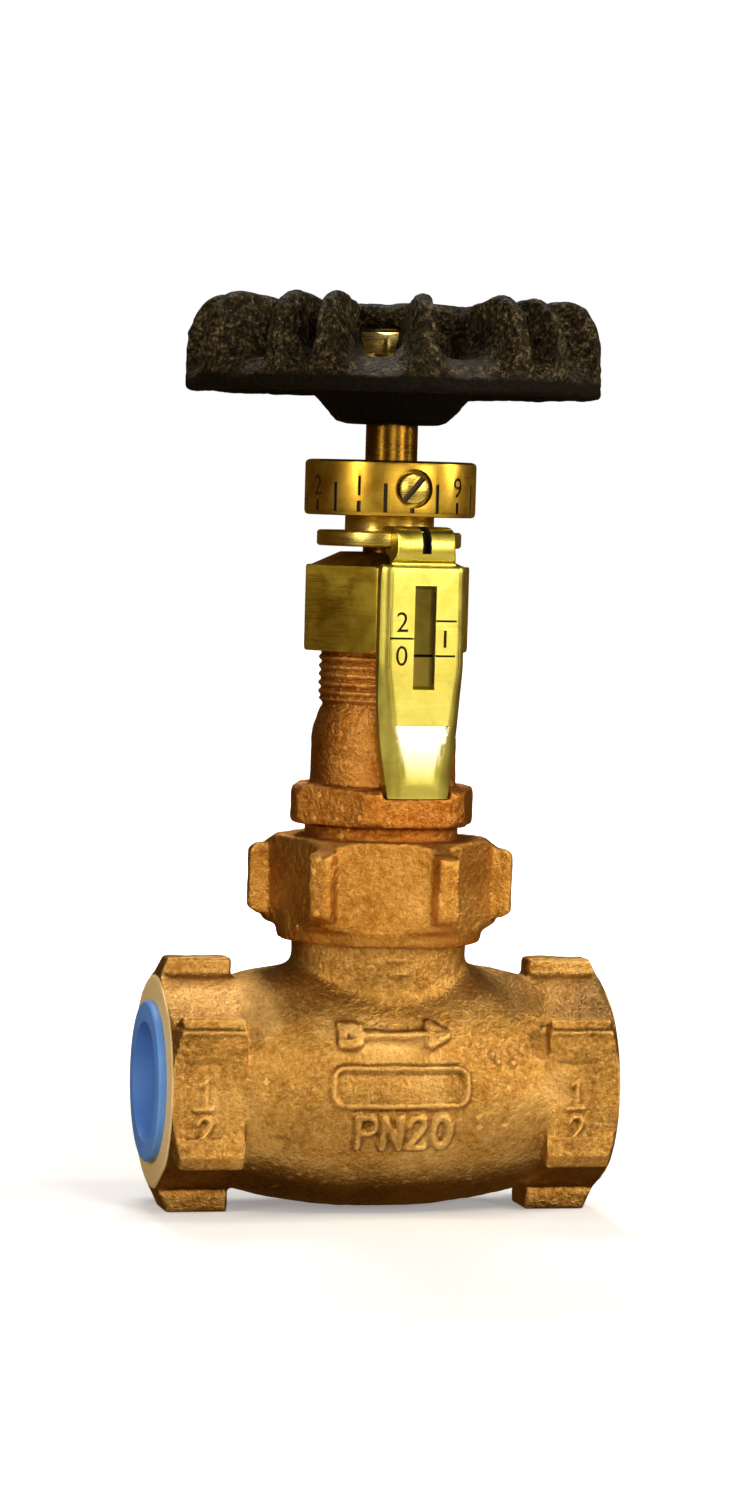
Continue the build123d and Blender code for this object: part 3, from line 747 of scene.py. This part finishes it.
def build_wheel_mesh():
    NT = 1080
    th = np.arange(NT) * 2 * pi / NT
    r = np.concatenate([np.array([4.35, 5.5, 7.0, 8.6, 9.6, 10.4, 11.2, 12.2]), np.arange(13.0, 31.3, 0.28), [31.3]])
    az = np.degrees(np.arctan2(np.sin(th), -np.cos(th)))
    azv = np.degrees(np.arctan2(np.cos(th), -np.sin(th)))      # azimuth from -Y towards +X of each column
    R, A = np.meshgrid(r, azv, indexing="ij")
    floor = curve_at(R, [4, 9.2, 10.6, 13, 19.5, 22.5, 26.0, 29.0, 31.4], [130.4, 130.4, 129.3, 129.1, 129.3, 130.2, 130.3, 129.5, 127.4])
    top = curve_at(R, [13.0, 14.4, 14.9, 17.0, 20.5, 26.2, 29.0, 30.6, 31.4], [129.0, 130.4, 137.0, 138.7, 139.2, 140.15, 139.2, 137.2, 134.6])
    Z = floor.copy()
    for i, a in enumerate(FIN_AZ):
        d = (A - a + 180) % 360 - 180
        sd = R * np.abs(np.sin(np.radians(d)))
        sd[np.abs(d) > 60] = 99
        half = 1.42 + 0.25 * (i % 3 == 0)
        # rounded crest, slightly tapering flanks, generous root fillet
        f = np.where(sd < half * 0.75, 1 - 0.05 * (sd / (half * 0.75)) ** 2.0, 0.95)
        t = np.clip((sd - half * 0.75) / 1.15, 0, 1)
        f = np.where(sd >= half * 0.75, 0.95 - 0.74 * (t ** 1.35 * (2 - t) / 1.0) ** 1.0, f)
        t2 = np.clip((sd - half * 0.75 - 1.15) / 2.6, 0, 1)
        f = np.where(sd >= half * 0.75 + 1.15, 0.21 * (1 - t2) ** 2, f)
        Z = np.maximum(Z, floor + np.maximum(top - floor, 0) * f)
    # bottom: hub cone, dished underside, rim
    def bot(x):
        return curve_at(x, [4.3, 7.9, 8.4, 12.0, 13.0, 16.5, 24.0, 27.0, 28.6, 31.4], [120.8, 120.8, 121.1, 125.2, 126.0, 126.6, 126.6, 126.1, 125.45, 125.4])
    B = bot(R)
    keep = np.ones((len(r) - 1, NT), bool)
    rc = (r[1:] + r[:-1]) / 2
    for a in WINDOW_AZ:
        for off in (-21.8, 21.8):
            d = (azv + 180.0 / NT - (a + off) + 180) % 360 - 180
            sx = rc[:, None] * np.radians(d)[None, :]
            ok = (np.abs(d)[None, :] < 30) & (((rc[:, None] - 16.4) / 2.7) ** 4 + (sx / 3.6) ** 4 < 1)
            keep &= ~ok
    X = R * np.cos(th)[None, :]
    Y = R * np.sin(th)[None, :]
    n = len(r)
    V = [np.stack([X, Y, Z], -1).reshape(-1, 3), np.stack([X, Y, B], -1).reshape(-1, 3)]
    # outer wall rows
    rows = 14
    wall = []
    for j in range(1, rows):
        t = j / rows
        zz = Z[-1] * (1 - t) + 125.4 * t
        rr = 31.3 + 0.45 * np.clip((140 - zz) / 10.0, 0, 1) ** 0.6
        wall.append(np.stack([rr * np.cos(th), rr * np.sin(th), zz], -1))
    V += wall
    verts = np.concatenate(V)
    nb = n * NT
    F = []
    k = np.arange(NT)
    k2 = (k + 1) % NT
    for i in range(n - 1):
        kk = keep[i]
        a, b, c, d = i * NT + k, i * NT + k2, (i + 1) * NT + k2, (i + 1) * NT + k
        F.append(np.stack([a, d, c, b], -1)[kk])
        F.append(np.stack([a + nb, b + nb, c + nb, d + nb], -1)[kk])
        # window walls
        for di in (-1, 1):
            j = i + di
            if 0 <= j < n - 1:
                edge = kk & ~keep[j]
                e = i + (1 if di > 0 else 0)
                p, q = e * NT + k, e * NT + k2
                F.append(np.stack([p, q, q + nb, p + nb], -1)[edge])
        for dk in (-1, 1):
            edge = kk & ~np.roll(kk, -dk)
            col = (k + (1 if dk > 0 else 0)) % NT
            p, q = i * NT + col, (i + 1) * NT + col
            F.append(np.stack([p, q, q + nb, p + nb], -1)[edge])
    # inner bore wall
    F.append(np.stack([k, k2, k2 + nb, k + nb], -1))
    # outer wall
    prev = (n - 1) * NT
    base = 2 * nb
    for j in range(rows - 1):
        cur = base + j * NT
        F.append(np.stack([prev + k, prev + k2, cur + k2, cur + k], -1))
        prev = cur
    last = nb + (n - 1) * NT
    F.append(np.stack([prev + k, prev + k2, last + k2, last + k], -1))
    faces = np.concatenate(F)
    me = bpy.data.meshes.new("wheel")
    me.vertices.add(len(verts))
    me.vertices.foreach_set("co", (verts * MM).reshape(-1))
    me.loops.add(len(faces) * 4)
    me.loops.foreach_set("vertex_index", faces.reshape(-1).astype(np.int32))
    me.polygons.add(len(faces))
    me.polygons.foreach_set("loop_start", np.arange(len(faces)) * 4)
    me.update(calc_edges=True)
    me.validate()
    o = bpy.data.objects.new("wheel", me)
    scene.collection.objects.link(o)
    fix_normals(o)
    return o


wheel = build_wheel_mesh()
crown = lathe("crown", [(14.5, 135.4), (15.4, 134.9), (17.6, 134.9), (18.5, 135.8), (18.6, 137.2), (17.9, 138.3), (16.6, 138.8), (15.2, 138.5), (14.5, 137.4)], 180)
fix_normals(crown)
wheel = join([wheel, crown], "wheel")
remesh(wheel, 0.30)
laplacian(wheel, 7, 0.5)
wco, wno = get_co(wheel), get_no(wheel)
inner = smoothstep(np.sqrt(wco[:, 0] ** 2 + wco[:, 1] ** 2), 7.5, 9.0)
wd = (0.13 * fbm(wco, 1.6, 3, 11) + 0.16 * fbm(wco, 6.0, 2, 21)) * inner
wd = np.minimum(wd, 0.25)
wco = wco + wno * wd[:, None]
rr_ = np.sqrt(wco[:, 0] ** 2 + wco[:, 1] ** 2)
lim = np.minimum(1.0, 31.9 / np.maximum(rr_, 1e-6))
wco[:, :2] *= lim[:, None]
set_co(wheel, wco)
place(wheel, "wheel_casting", "stem_assembly", ["handwheel"], mat_wheel)


# ---------------------------------------------------------------- engraved figures
def text_tool(ch, height, depth, squeeze=1.0, bold=0.0):
    """Closed cutter of one figure, centred, standing in the XZ plane and facing -Y, running from y = -depth to +depth (mm)."""
    cu = bpy.data.curves.new("t", "FONT")
    cu.body = ch
    cu.align_x = "CENTER"
    cu.size = 1.0
    cu.offset = bold
    cu.resolution_u = 6
    ob = bpy.data.objects.new("t", cu)
    scene.collection.objects.link(ob)
    bpy.context.view_layer.update()
    dg = bpy.context.evaluated_depsgraph_get()
    me = bpy.data.meshes.new_from_object(ob.evaluated_get(dg))
    bpy.data.objects.remove(ob)
    bm = bmesh.new()
    bm.from_mesh(me)
    bpy.data.meshes.remove(me)
    bmesh.ops.remove_doubles(bm, verts=bm.verts, dist=1e-5)
    xs = [v.co.x for v in bm.verts]
    ys = [v.co.y for v in bm.verts]
    cx, cy, h = (min(xs) + max(xs)) / 2, (min(ys) + max(ys)) / 2, max(ys) - min(ys)
    k = height / h
    for v in bm.verts:
        x, y = (v.co.x - cx) * k * squeeze, (v.co.y - cy) * k
        v.co = Vector((x * MM, -depth * MM, y * MM))
    geom = bmesh.ops.extrude_face_region(bm, geom=bm.faces[:])
    for g in geom["geom"]:
        if isinstance(g, bmesh.types.BMVert):
            g.co.y = depth * MM
    bmesh.ops.recalc_face_normals(bm, faces=bm.faces)
    out = bpy.data.meshes.new("t")
    bm.to_mesh(out)
    bm.free()
    o = bpy.data.objects.new("t", out)
    scene.collection.objects.link(o)
    return o


def box_tool(x0, x1, y0, y1, z0, z1):
    v = [(x, y, z) for x in (x0, x1) for y in (y0, y1) for z in (z0, z1)]
    f = [(0, 1, 3, 2), (4, 6, 7, 5), (0, 4, 5, 1), (2, 3, 7, 6), (0, 2, 6, 4), (1, 5, 7, 3)]
    return fix_normals(new_obj("b", v, f, False))


def moved(o, x=0, y=0, z=0, az=0.0, tilt=0.0):
    o.data.transform(Matrix.Rotation(radians(az), 4, "Z") @ Matrix.Translation((x * MM, y * MM, z * MM)) @ Matrix.Rotation(radians(tilt), 4, "Y"))
    return o


def bevel(o, width, segs=2, angle=35):
    md = o.modifiers.new("bv", "BEVEL")
    md.width = width * MM
    md.segments = segs
    md.limit_method = "ANGLE"
    md.angle_limit = radians(angle)
    md.harden_normals = False
    bake_modifiers(o)
    return o


# ---------------------------------------------------------------- dial
DIAL_ZERO = 1.4
SCREW_AZ, SCREW_Z = 2.7, 111.1


def radial_rod(r, y0, y1, az, z, seg=48):
    o = lathe("rod", [(0, y0), (r, y0), (r, y1), (0, y1)], seg, close=False)
    o.data.transform(Matrix.Rotation(radians(az), 4, "Z") @ Matrix.Translation((0, 0, z * MM)) @ Matrix.Rotation(radians(90), 4, "X"))
    return fix_normals(o)


def build_dial():
    prof = [(6.87, 106.8), (12.55, 106.8), (12.95, 106.95), (13.1, 107.25), (13.15, 107.6), (13.15, 114.6), (13.05, 114.95), (12.75, 115.2), (12.3, 115.3),
            (11.6, 115.3), (11.3, 115.1), (11.0, 114.4), (10.7, 114.2), (5.3, 114.2), (5.02, 114.05), (5.02, 113.12), (6.87, 113.12)]
    d = fix_normals(lathe("dial", prof, 180))
    tools, figs = [], []
    for k in range(20):
        az = DIAL_ZERO - 18 * k
        if k % 2 == 0:
            tools.append(moved(box_tool(-0.34, 0.34, -0.42, 0.4, -0.85, 0.85), 0, -13.1, 108.25, az))
            if k:
                figs.append((str(k // 2), az))
        else:
            tools.append(moved(box_tool(-0.29, 0.29, -0.42, 0.4, -2.2, 2.2), 0, -13.1, 109.6, az))
    tool = join(tools, "dial_tools")
    boolean(d, tool)
    for ch, az in figs:
        boolean(d, moved(text_tool(ch, 3.0, 0.45, 1.0), 0.013, -13.15, 111.35, az + 0.11))
    boolean(d, radial_rod(2.95, 11.0, 15.0, SCREW_AZ, SCREW_Z))
    boolean(d, radial_rod(1.55, 4.0, 12.0, SCREW_AZ, SCREW_Z))
    return d


dial = build_dial()

# ---------------------------------------------------------------- dial screw
def build_screw():
    h = lathe("screw", [(0, 4.1), (1.48, 4.1), (1.48, 11.02), (2.2, 11.02), (2.35, 11.15), (2.35, 12.6), (2.22, 12.85), (1.9, 13.0), (0, 13.06)], 64, close=False)
    fix_normals(h)
    cut = box_tool(-3.2, 3.2, -0.45, 0.45, 12.1, 14.0)
    cut.data.transform(Matrix.Rotation(radians(50), 4, "Z"))
    boolean(h, cut)
    h.data.transform(Matrix.Rotation(radians(SCREW_AZ), 4, "Z") @ Matrix.Translation((0, 0, SCREW_Z * MM)) @ Matrix.Rotation(radians(90), 4, "X"))
    return h


screw = build_screw()

# ---------------------------------------------------------------- scale plate
def build_plate():
    zs = np.concatenate([np.linspace(64.2, 74.9, 27), np.array([75.22, 75.29, 75.34, 75.45, 75.8, 76.4]), np.linspace(77.5, 98.4, 22), np.array([98.9, 99.2, 99.42, 99.55, 99.6])])
    hw = curve_at(zs, [64.2, 69.0, 74.0, 79.0, 84.0, 97.6, 98.8, 99.35, 99.6], [4.95, 5.7, 6.35, 6.75, 6.95, 6.98, 6.9, 6.7, 6.35])
    NU = 72
    u = np.linspace(-1, 1, NU)
    u = np.sign(u) * (1 - (1 - np.abs(u)) ** 1.35)
    rows_f, rows_b = [], []
    for z, h in zip(zs, hw):
        x = u * h
        ax = np.abs(x)
        low = np.clip((84.0 - z) / 18.0, 0, 1)
        w = 5.3 - 2.6 * low
        yl = -14.5 + (0.42 - 0.30 * low) * np.maximum(0, ax - w) ** 2
        if z < 75.3:
            t = (75.3 - z) / 9.0
            f = 4.25 * (1 - t) + 1.9 * t
            cut = max(0.0, 0.62 * (1 - t)) * (1 - smoothstep(ax, f - 0.15, f + 0.15 + 0.9 * t))
            yl = yl + cut + 0.10 * (75.3 - z) * 0.5
        yl = np.minimum(yl, -12.2)
        top = max(0.0, z - 98.7)
        y = yl + 0.5 * (top / 0.9) ** 3
        rows_f.append([(xx, yy, z) for xx, yy in zip(x, y)])
        yb = -12.05 if z > 75.8 else -11.55
        rows_b.append([(xx, yb, z) for xx in x])
    verts = [p for r in rows_f for p in r] + [p for r in rows_b for p in r]
    nr, off = len(zs), len(zs) * NU
    F = []
    for i in range(nr - 1):
        for j in range(NU - 1):
            a, b, c, d = i * NU + j, i * NU + j + 1, (i + 1) * NU + j + 1, (i + 1) * NU + j
            F.append((a, b, c, d))
            F.append((a + off, d + off, c + off, b + off))
        for j in (0, NU - 1):
            a, d = i * NU + j, (i + 1) * NU + j
            F.append((a, d, d + off, a + off) if j == 0 else (a, a + off, d + off, d))
    for j in range(NU - 1):
        F.append((j, j + off, j + 1 + off, j + 1))
        t = (nr - 1) * NU
        F.append((t + j, t + j + 1, t + j + 1 + off, t + j + off))
    p = fix_normals(new_obj("plate", verts, F))
    tools = [box_tool(-5.75, 5.75, -13.5, -10, 75.95, 100.5)]
    boolean(p, tools[0])
    boolean(p, box_tool(-1.78, 1.78, -16, -11, 81.6, 95.7))
    for z0, z1, s_ in ((81.6, 80.7, 1), (95.7, 96.6, -1)):
        wv = [(-1.78, -12.2, z0 + 0.3 * s_), (1.78, -12.2, z0 + 0.3 * s_), (-1.78, -14.9, z1 - 0.1 * s_), (1.78, -14.9, z1 - 0.1 * s_), (-1.78, -14.9, z0 + 0.3 * s_), (1.78, -14.9, z0 + 0.3 * s_)]
        boolean(p, fix_normals(new_obj("wedge", wv, [(0, 1, 3, 2), (2, 3, 5, 4), (0, 4, 5, 1), (0, 2, 4), (1, 5, 3)])))
    cut = []
    d = 0.20
    cut.append(moved(text_tool("2", 3.0, d), -3.75, -14.5, 91.0))
    cut.append(moved(text_tool("0", 3.0, d), -3.75, -14.5, 85.9))
    cut.append(moved(box_tool(-0.24, 0.24, -d, d, -1.3, 1.3), 3.35, -14.5, 88.5))
    cut.append(box_tool(1.6, 5.2, -14.5 - d, -14.5 + d, 91.05, 91.38))
    cut.append(box_tool(-5.7, -1.6, -14.5 - d, -14.5 + d, 88.35, 88.68))
    cut.append(box_tool(1.6, 5.1, -14.5 - d, -14.5 + d, 85.75, 86.08))
    boolean(p, join(cut, "plate_tools"))
    return spin(p, PLATE_AZ)


plate = build_plate()

# ---------------------------------------------------------------- indicator slide
def build_slide():
    strip = [(-12.2, 76.6), (-13.4, 76.6), (-13.4, 99.6)]
    out = [(-13.4, 99.9), (-13.75, 100.15), (-14.15, 100.6), (-14.4, 101.2), (-14.5, 101.9), (-14.5, 102.9), (-14.38, 103.6), (-14.1, 104.25), (-13.7, 104.75),
           (-13.15, 105.12), (-12.5, 105.33), (-11.8, 105.4), (-8.6, 105.4), (-8.42, 105.3), (-8.4, 105.1), (-8.4, 104.75), (-8.5, 104.64), (-8.8, 104.62), (-11.3, 104.62),
           (-11.65, 104.52), (-11.85, 104.25), (-11.9, 103.9), (-11.9, 102.5), (-11.82, 102.15), (-11.55, 101.97), (-9.9, 101.95), (-9.65, 101.85), (-9.6, 101.6), (-9.7, 101.36),
           (-10.4, 101.12), (-11.2, 100.9), (-11.8, 100.65), (-12.2, 100.3)]
    prof = strip + out
    n = len(prof)
    xs = np.concatenate([[-5.35, -5.3, -5.15], np.linspace(-4.8, 4.8, 13), [5.15, 5.3, 5.35]])
    verts, F = [], []
    cy, cz = -12.8, 102.5
    for x in xs:
        e = max(0.0, (abs(x) - 5.0) / 0.35)
        for y, z in prof:
            ins = 0.22 * e * e
            if z > 99.7:
                yy = y + ins * (1 if y < -13.2 else 0)
                zz = z - ins * (1 if z > 104.9 else 0)
                xk = 1 - 0.113 * min(1.0, (z - 99.7) / 1.6)
            else:
                yy, zz, xk = y, z, 1.0
            verts.append((x * xk, yy, zz))
    for i in range(len(xs) - 1):
        for j in range(n):
            j2 = (j + 1) % n
            F.append((i * n + j, i * n + j2, (i + 1) * n + j2, (i + 1) * n + j))
    F.append(tuple(range(n)))
    F.append(tuple(reversed(range((len(xs) - 1) * n, len(xs) * n))))
    sl = fix_normals(new_obj("slide", verts, F))
    boolean(sl, box_tool(-0.72, 0.72, -16, -12.4, 101.35, 106.5))
    boolean(sl, box_tool(-0.72, 0.72, -16, -9.8, 104.3, 106.5))
    # index line across the strip, in line with the plate's zero
    boolean(sl, box_tool(-3.0, 3.0, -13.7, -13.15, 85.72, 86.12))
    return spin(sl, PLATE_AZ)


slide = build_slide()


def mask_between(M, v, lo, hi):
    """1 where lo < v < hi."""
    return M.math("MULTIPLY", M.math("GREATER_THAN", v, lo), M.math("LESS_THAN", v, hi))


def paint_marks_and_shade(M, mask, colour, rough):
    """Paints a masked area of a finished material: engraved lines and bare faces, and painted shade in slots, slits
    and window walls.
    """
    base = M.b.inputs["Base Color"].links[0].from_socket
    M.l.new(M.mix(mask, base, colour), M.b.inputs["Base Color"])
    ro = M.b.inputs["Roughness"].links[0].from_socket
    M.l.new(M.math("MAXIMUM", ro, M.math("MULTIPLY", mask, rough)), M.b.inputs["Roughness"])
    M.l.new(M.math("SUBTRACT", 1.0, M.math("MULTIPLY", mask, 0.85)), M.b.inputs["Metallic"])


# the turned end faces of the body are bare and pale
bx_ = mat_body.math("ABSOLUTE", mat_body.xyz()[0])
paint_marks_and_shade(mat_body, mat_body.maprange(bx_, 34.72 * MM, 34.84 * MM, 0.0, 1.0), (0.92, 0.66, 0.29), 0.55)
# dial: everything sunk below the rim's face is blackened
px_, py_, pz_ = mat_dial.xyz()[0], mat_dial.xyz()[1], mat_dial.xyz()[2]
rad = mat_dial.math("SQRT", mat_dial.math("ADD", mat_dial.math("MULTIPLY", px_, px_), mat_dial.math("MULTIPLY", py_, py_)))
mk = mat_dial.math("MULTIPLY", mask_between(mat_dial, rad, 11.4 * MM, 13.08 * MM), mask_between(mat_dial, pz_, 107.32 * MM, 114.3 * MM))
paint_marks_and_shade(mat_dial, mk, (0.030, 0.020, 0.008), 0.7)
# painted shade: the screw's slot is painted dark
V = mat_screw.mapping(rot=(0, 0, radians(-SCREW_AZ)))
sc = mat_screw.xyz(V)
mk = mat_screw.math("MULTIPLY", mask_between(mat_screw, sc[1], -12.80 * MM, -11.9 * MM), mat_screw.math("LESS_THAN",
     mat_screw.math("ABSOLUTE", mat_screw.math("SUBTRACT", mat_screw.math("MULTIPLY", sc[0], sin(radians(50))), mat_screw.math("MULTIPLY", mat_screw.math("SUBTRACT", sc[2], SCREW_Z * MM), cos(radians(50))))), 0.46 * MM))
paint_marks_and_shade(mat_screw, mk, (0.07, 0.035, 0.006), 0.6)
# plate: in the plate's own frame, the face is 14.5 mm in front of the stem
V = mat_plate.mapping(rot=(0, 0, radians(-PLATE_AZ)))
sx, sy, sz = mat_plate.xyz(V)[0], mat_plate.xyz(V)[1], mat_plate.xyz(V)[2]
mk = mat_plate.math("MULTIPLY", mask_between(mat_plate, sy, -14.44 * MM, -14.2 * MM), mask_between(mat_plate, sz, 84.0 * MM, 93.0 * MM))
mk = mat_plate.math("MULTIPLY", mk, mask_between(mat_plate, mat_plate.math("ABSOLUTE", sx), 1.9 * MM, 5.75 * MM))
paint_marks_and_shade(mat_plate, mk, (0.045, 0.035, 0.008), 0.7)
# the window's walls are painted dark: painted shade; the sloped face below is painted near white: painted highlight
asx = mat_plate.math("ABSOLUTE", sx)
# painted shade on the window's side walls
wall = mat_plate.math("MULTIPLY", mask_between(mat_plate, sy, -14.30 * MM, -10 * MM), mask_between(mat_plate, sz, 81.7 * MM, 95.6 * MM))
wall = mat_plate.math("MULTIPLY", wall, mat_plate.math("LESS_THAN", asx, 1.9 * MM))
paint_marks_and_shade(mat_plate, wall, (0.06, 0.035, 0.006), 0.6)
# painted highlight: the sloped face below the window, narrowing downward
fw_ = mat_plate.maprange(sz, 66.3 * MM, 75.3 * MM, 1.7 * MM, 4.25 * MM)
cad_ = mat_plate.math("SUBTRACT", fw_, asx)
facet_highlight = mat_plate.math("MULTIPLY", mat_plate.maprange(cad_, -0.7 * MM, 0.5 * MM, 0.0, 1.0), mat_plate.maprange(sz, 66.8 * MM, 74.0 * MM, 0.0, 1.0))
facet_highlight = mat_plate.math("MULTIPLY", facet_highlight, mat_plate.math("LESS_THAN", sz, 75.27 * MM))
mat_plate.l.new(mat_plate.mix(facet_highlight, mat_plate.b.inputs["Base Color"].links[0].from_socket, (1.0, 0.98, 0.80)), mat_plate.b.inputs["Base Color"])
V = mat_slide.mapping(rot=(0, 0, radians(-PLATE_AZ)))
sy, sz = mat_slide.xyz(V)[1], mat_slide.xyz(V)[2]
# the strip inside the window is painted dark brown: tarnish plus painted shade of the recess, lighter below the index
# line
strip_f = mat_slide.maprange(sz, 98.6 * MM, 99.7 * MM, 0.86, 0.0)
asx = mat_slide.math("ABSOLUTE", mat_slide.xyz(V)[0])
tarn = mat_slide.ramp(mat_slide.noise(2.2, 4, 0.6), [(0.3, (0.028, 0.013, 0.002)), (0.7, (0.075, 0.042, 0.006))])
tarn = mat_slide.mix(mat_slide.math("LESS_THAN", sz, 85.6 * MM), tarn, (0.13, 0.080, 0.013))
mat_slide.l.new(mat_slide.mix(strip_f, mat_slide.b.inputs["Base Color"].links[0].from_socket, tarn), mat_slide.b.inputs["Base Color"])
ro = mat_slide.b.inputs["Roughness"].links[0].from_socket
mat_slide.l.new(mat_slide.math("MAXIMUM", ro, mat_slide.math("MULTIPLY", strip_f, 0.70)), mat_slide.b.inputs["Roughness"])
mk = mat_slide.math("MULTIPLY", mask_between(mat_slide, sy, -13.36 * MM, -13.0 * MM), mask_between(mat_slide, sz, 85.6 * MM, 86.2 * MM))
paint_marks_and_shade(mat_slide, mk, (0.02, 0.012, 0.005), 0.8)
# painted shade: the slit in the hood is painted near black
mk = mat_slide.math("MULTIPLY", mat_slide.math("LESS_THAN", asx, 0.735 * MM), mat_slide.math("GREATER_THAN", sz, 101.3 * MM))
paint_marks_and_shade(mat_slide, mk, (0.010, 0.007, 0.003), 0.9)


def machined(node, name, body, slot, mat, width=0.25, segs=2, shade_angle=28):
    o = cad_copy(node, name)
    bm = bmesh.new()
    bm.from_mesh(o.data)
    bmesh.ops.dissolve_limit(bm, angle_limit=radians(0.6), verts=bm.verts, edges=bm.edges)
    bm.to_mesh(o.data)
    bm.free()
    bevel(o, width, segs, 40)
    return place(o, name, body, [node], mat, shade_angle)


machined("packing_nut", "packing_hexagon", "casings", "nut_brass", mat_nut, 0.8, 4)
machined("stem_collar", "collar", "stem_assembly", "collar_brass", mat_collar, 0.12, 2)
machined("handwheel_nut", "wheel_hexagon", "stem_assembly", "wheel_nut_brass", mat_turned, 0.2, 2)

place(dial, "dial", "stem_assembly", ["dial_ring"], mat_dial, 28)
place(screw, "screw", "stem_assembly", ["dial_screw"], mat_screw, 28)
place(plate, "plate", "casings", ["scale_plate"], mat_plate, 22)
place(slide, "slide", "indicator", ["indicator_slide"], mat_slide, 28)

for node, mat, ang in (("seat_ring", mat_turned, 30), ("packing_washer", mat_turned, 30), ("packing_rings", mat_packing, 30), ("packing_gland", mat_turned, 30),
                       ("stem", mat_stem, 30),
                       ("throttle_plug", mat_turned, 30), ("plug_lock_nut", mat_turned, 30), 
                       ("handwheel_washer", mat_turned, 30), ("thread_protector", mat_blue, 30)):
    NODES[node].data.materials.clear()
    NODES[node].data.materials.append(mat.m)

# ---------------------------------------------------------------- floor
fm = Mat("pale_floor")
fn = fm.noise(60, 3, 0.5)
fx = fm.xyz()
fr = fm.math("SQRT", fm.math("ADD", fm.math("MULTIPLY", fx[0], fx[0]), fm.math("MULTIPLY", fx[1], fx[1])))
fm.set(**{"Base Color": fm.ramp(fn, [(0.3, (0.86, 0.86, 0.86)), (0.7, (0.90, 0.90, 0.90))]), "Roughness": 0.75,
          "Emission Strength": fm.maprange(fr, 0.085, 0.50, 0.26, 1.05)})
fm.b.inputs["Emission Color"].default_value = (1, 1, 1, 1)
fm.b.inputs["Specular IOR Level"].default_value = 0.1
floor = new_obj("floor", [(-3000, -3000, 0), (3000, -3000, 0), (3000, 3000, 0), (-3000, 3000, 0)], [(0, 1, 2, 3)], False)
floor.location.z = -0.0001
floor.visible_glossy = False
floor.visible_diffuse = False
floor.data.materials.append(fm.m)
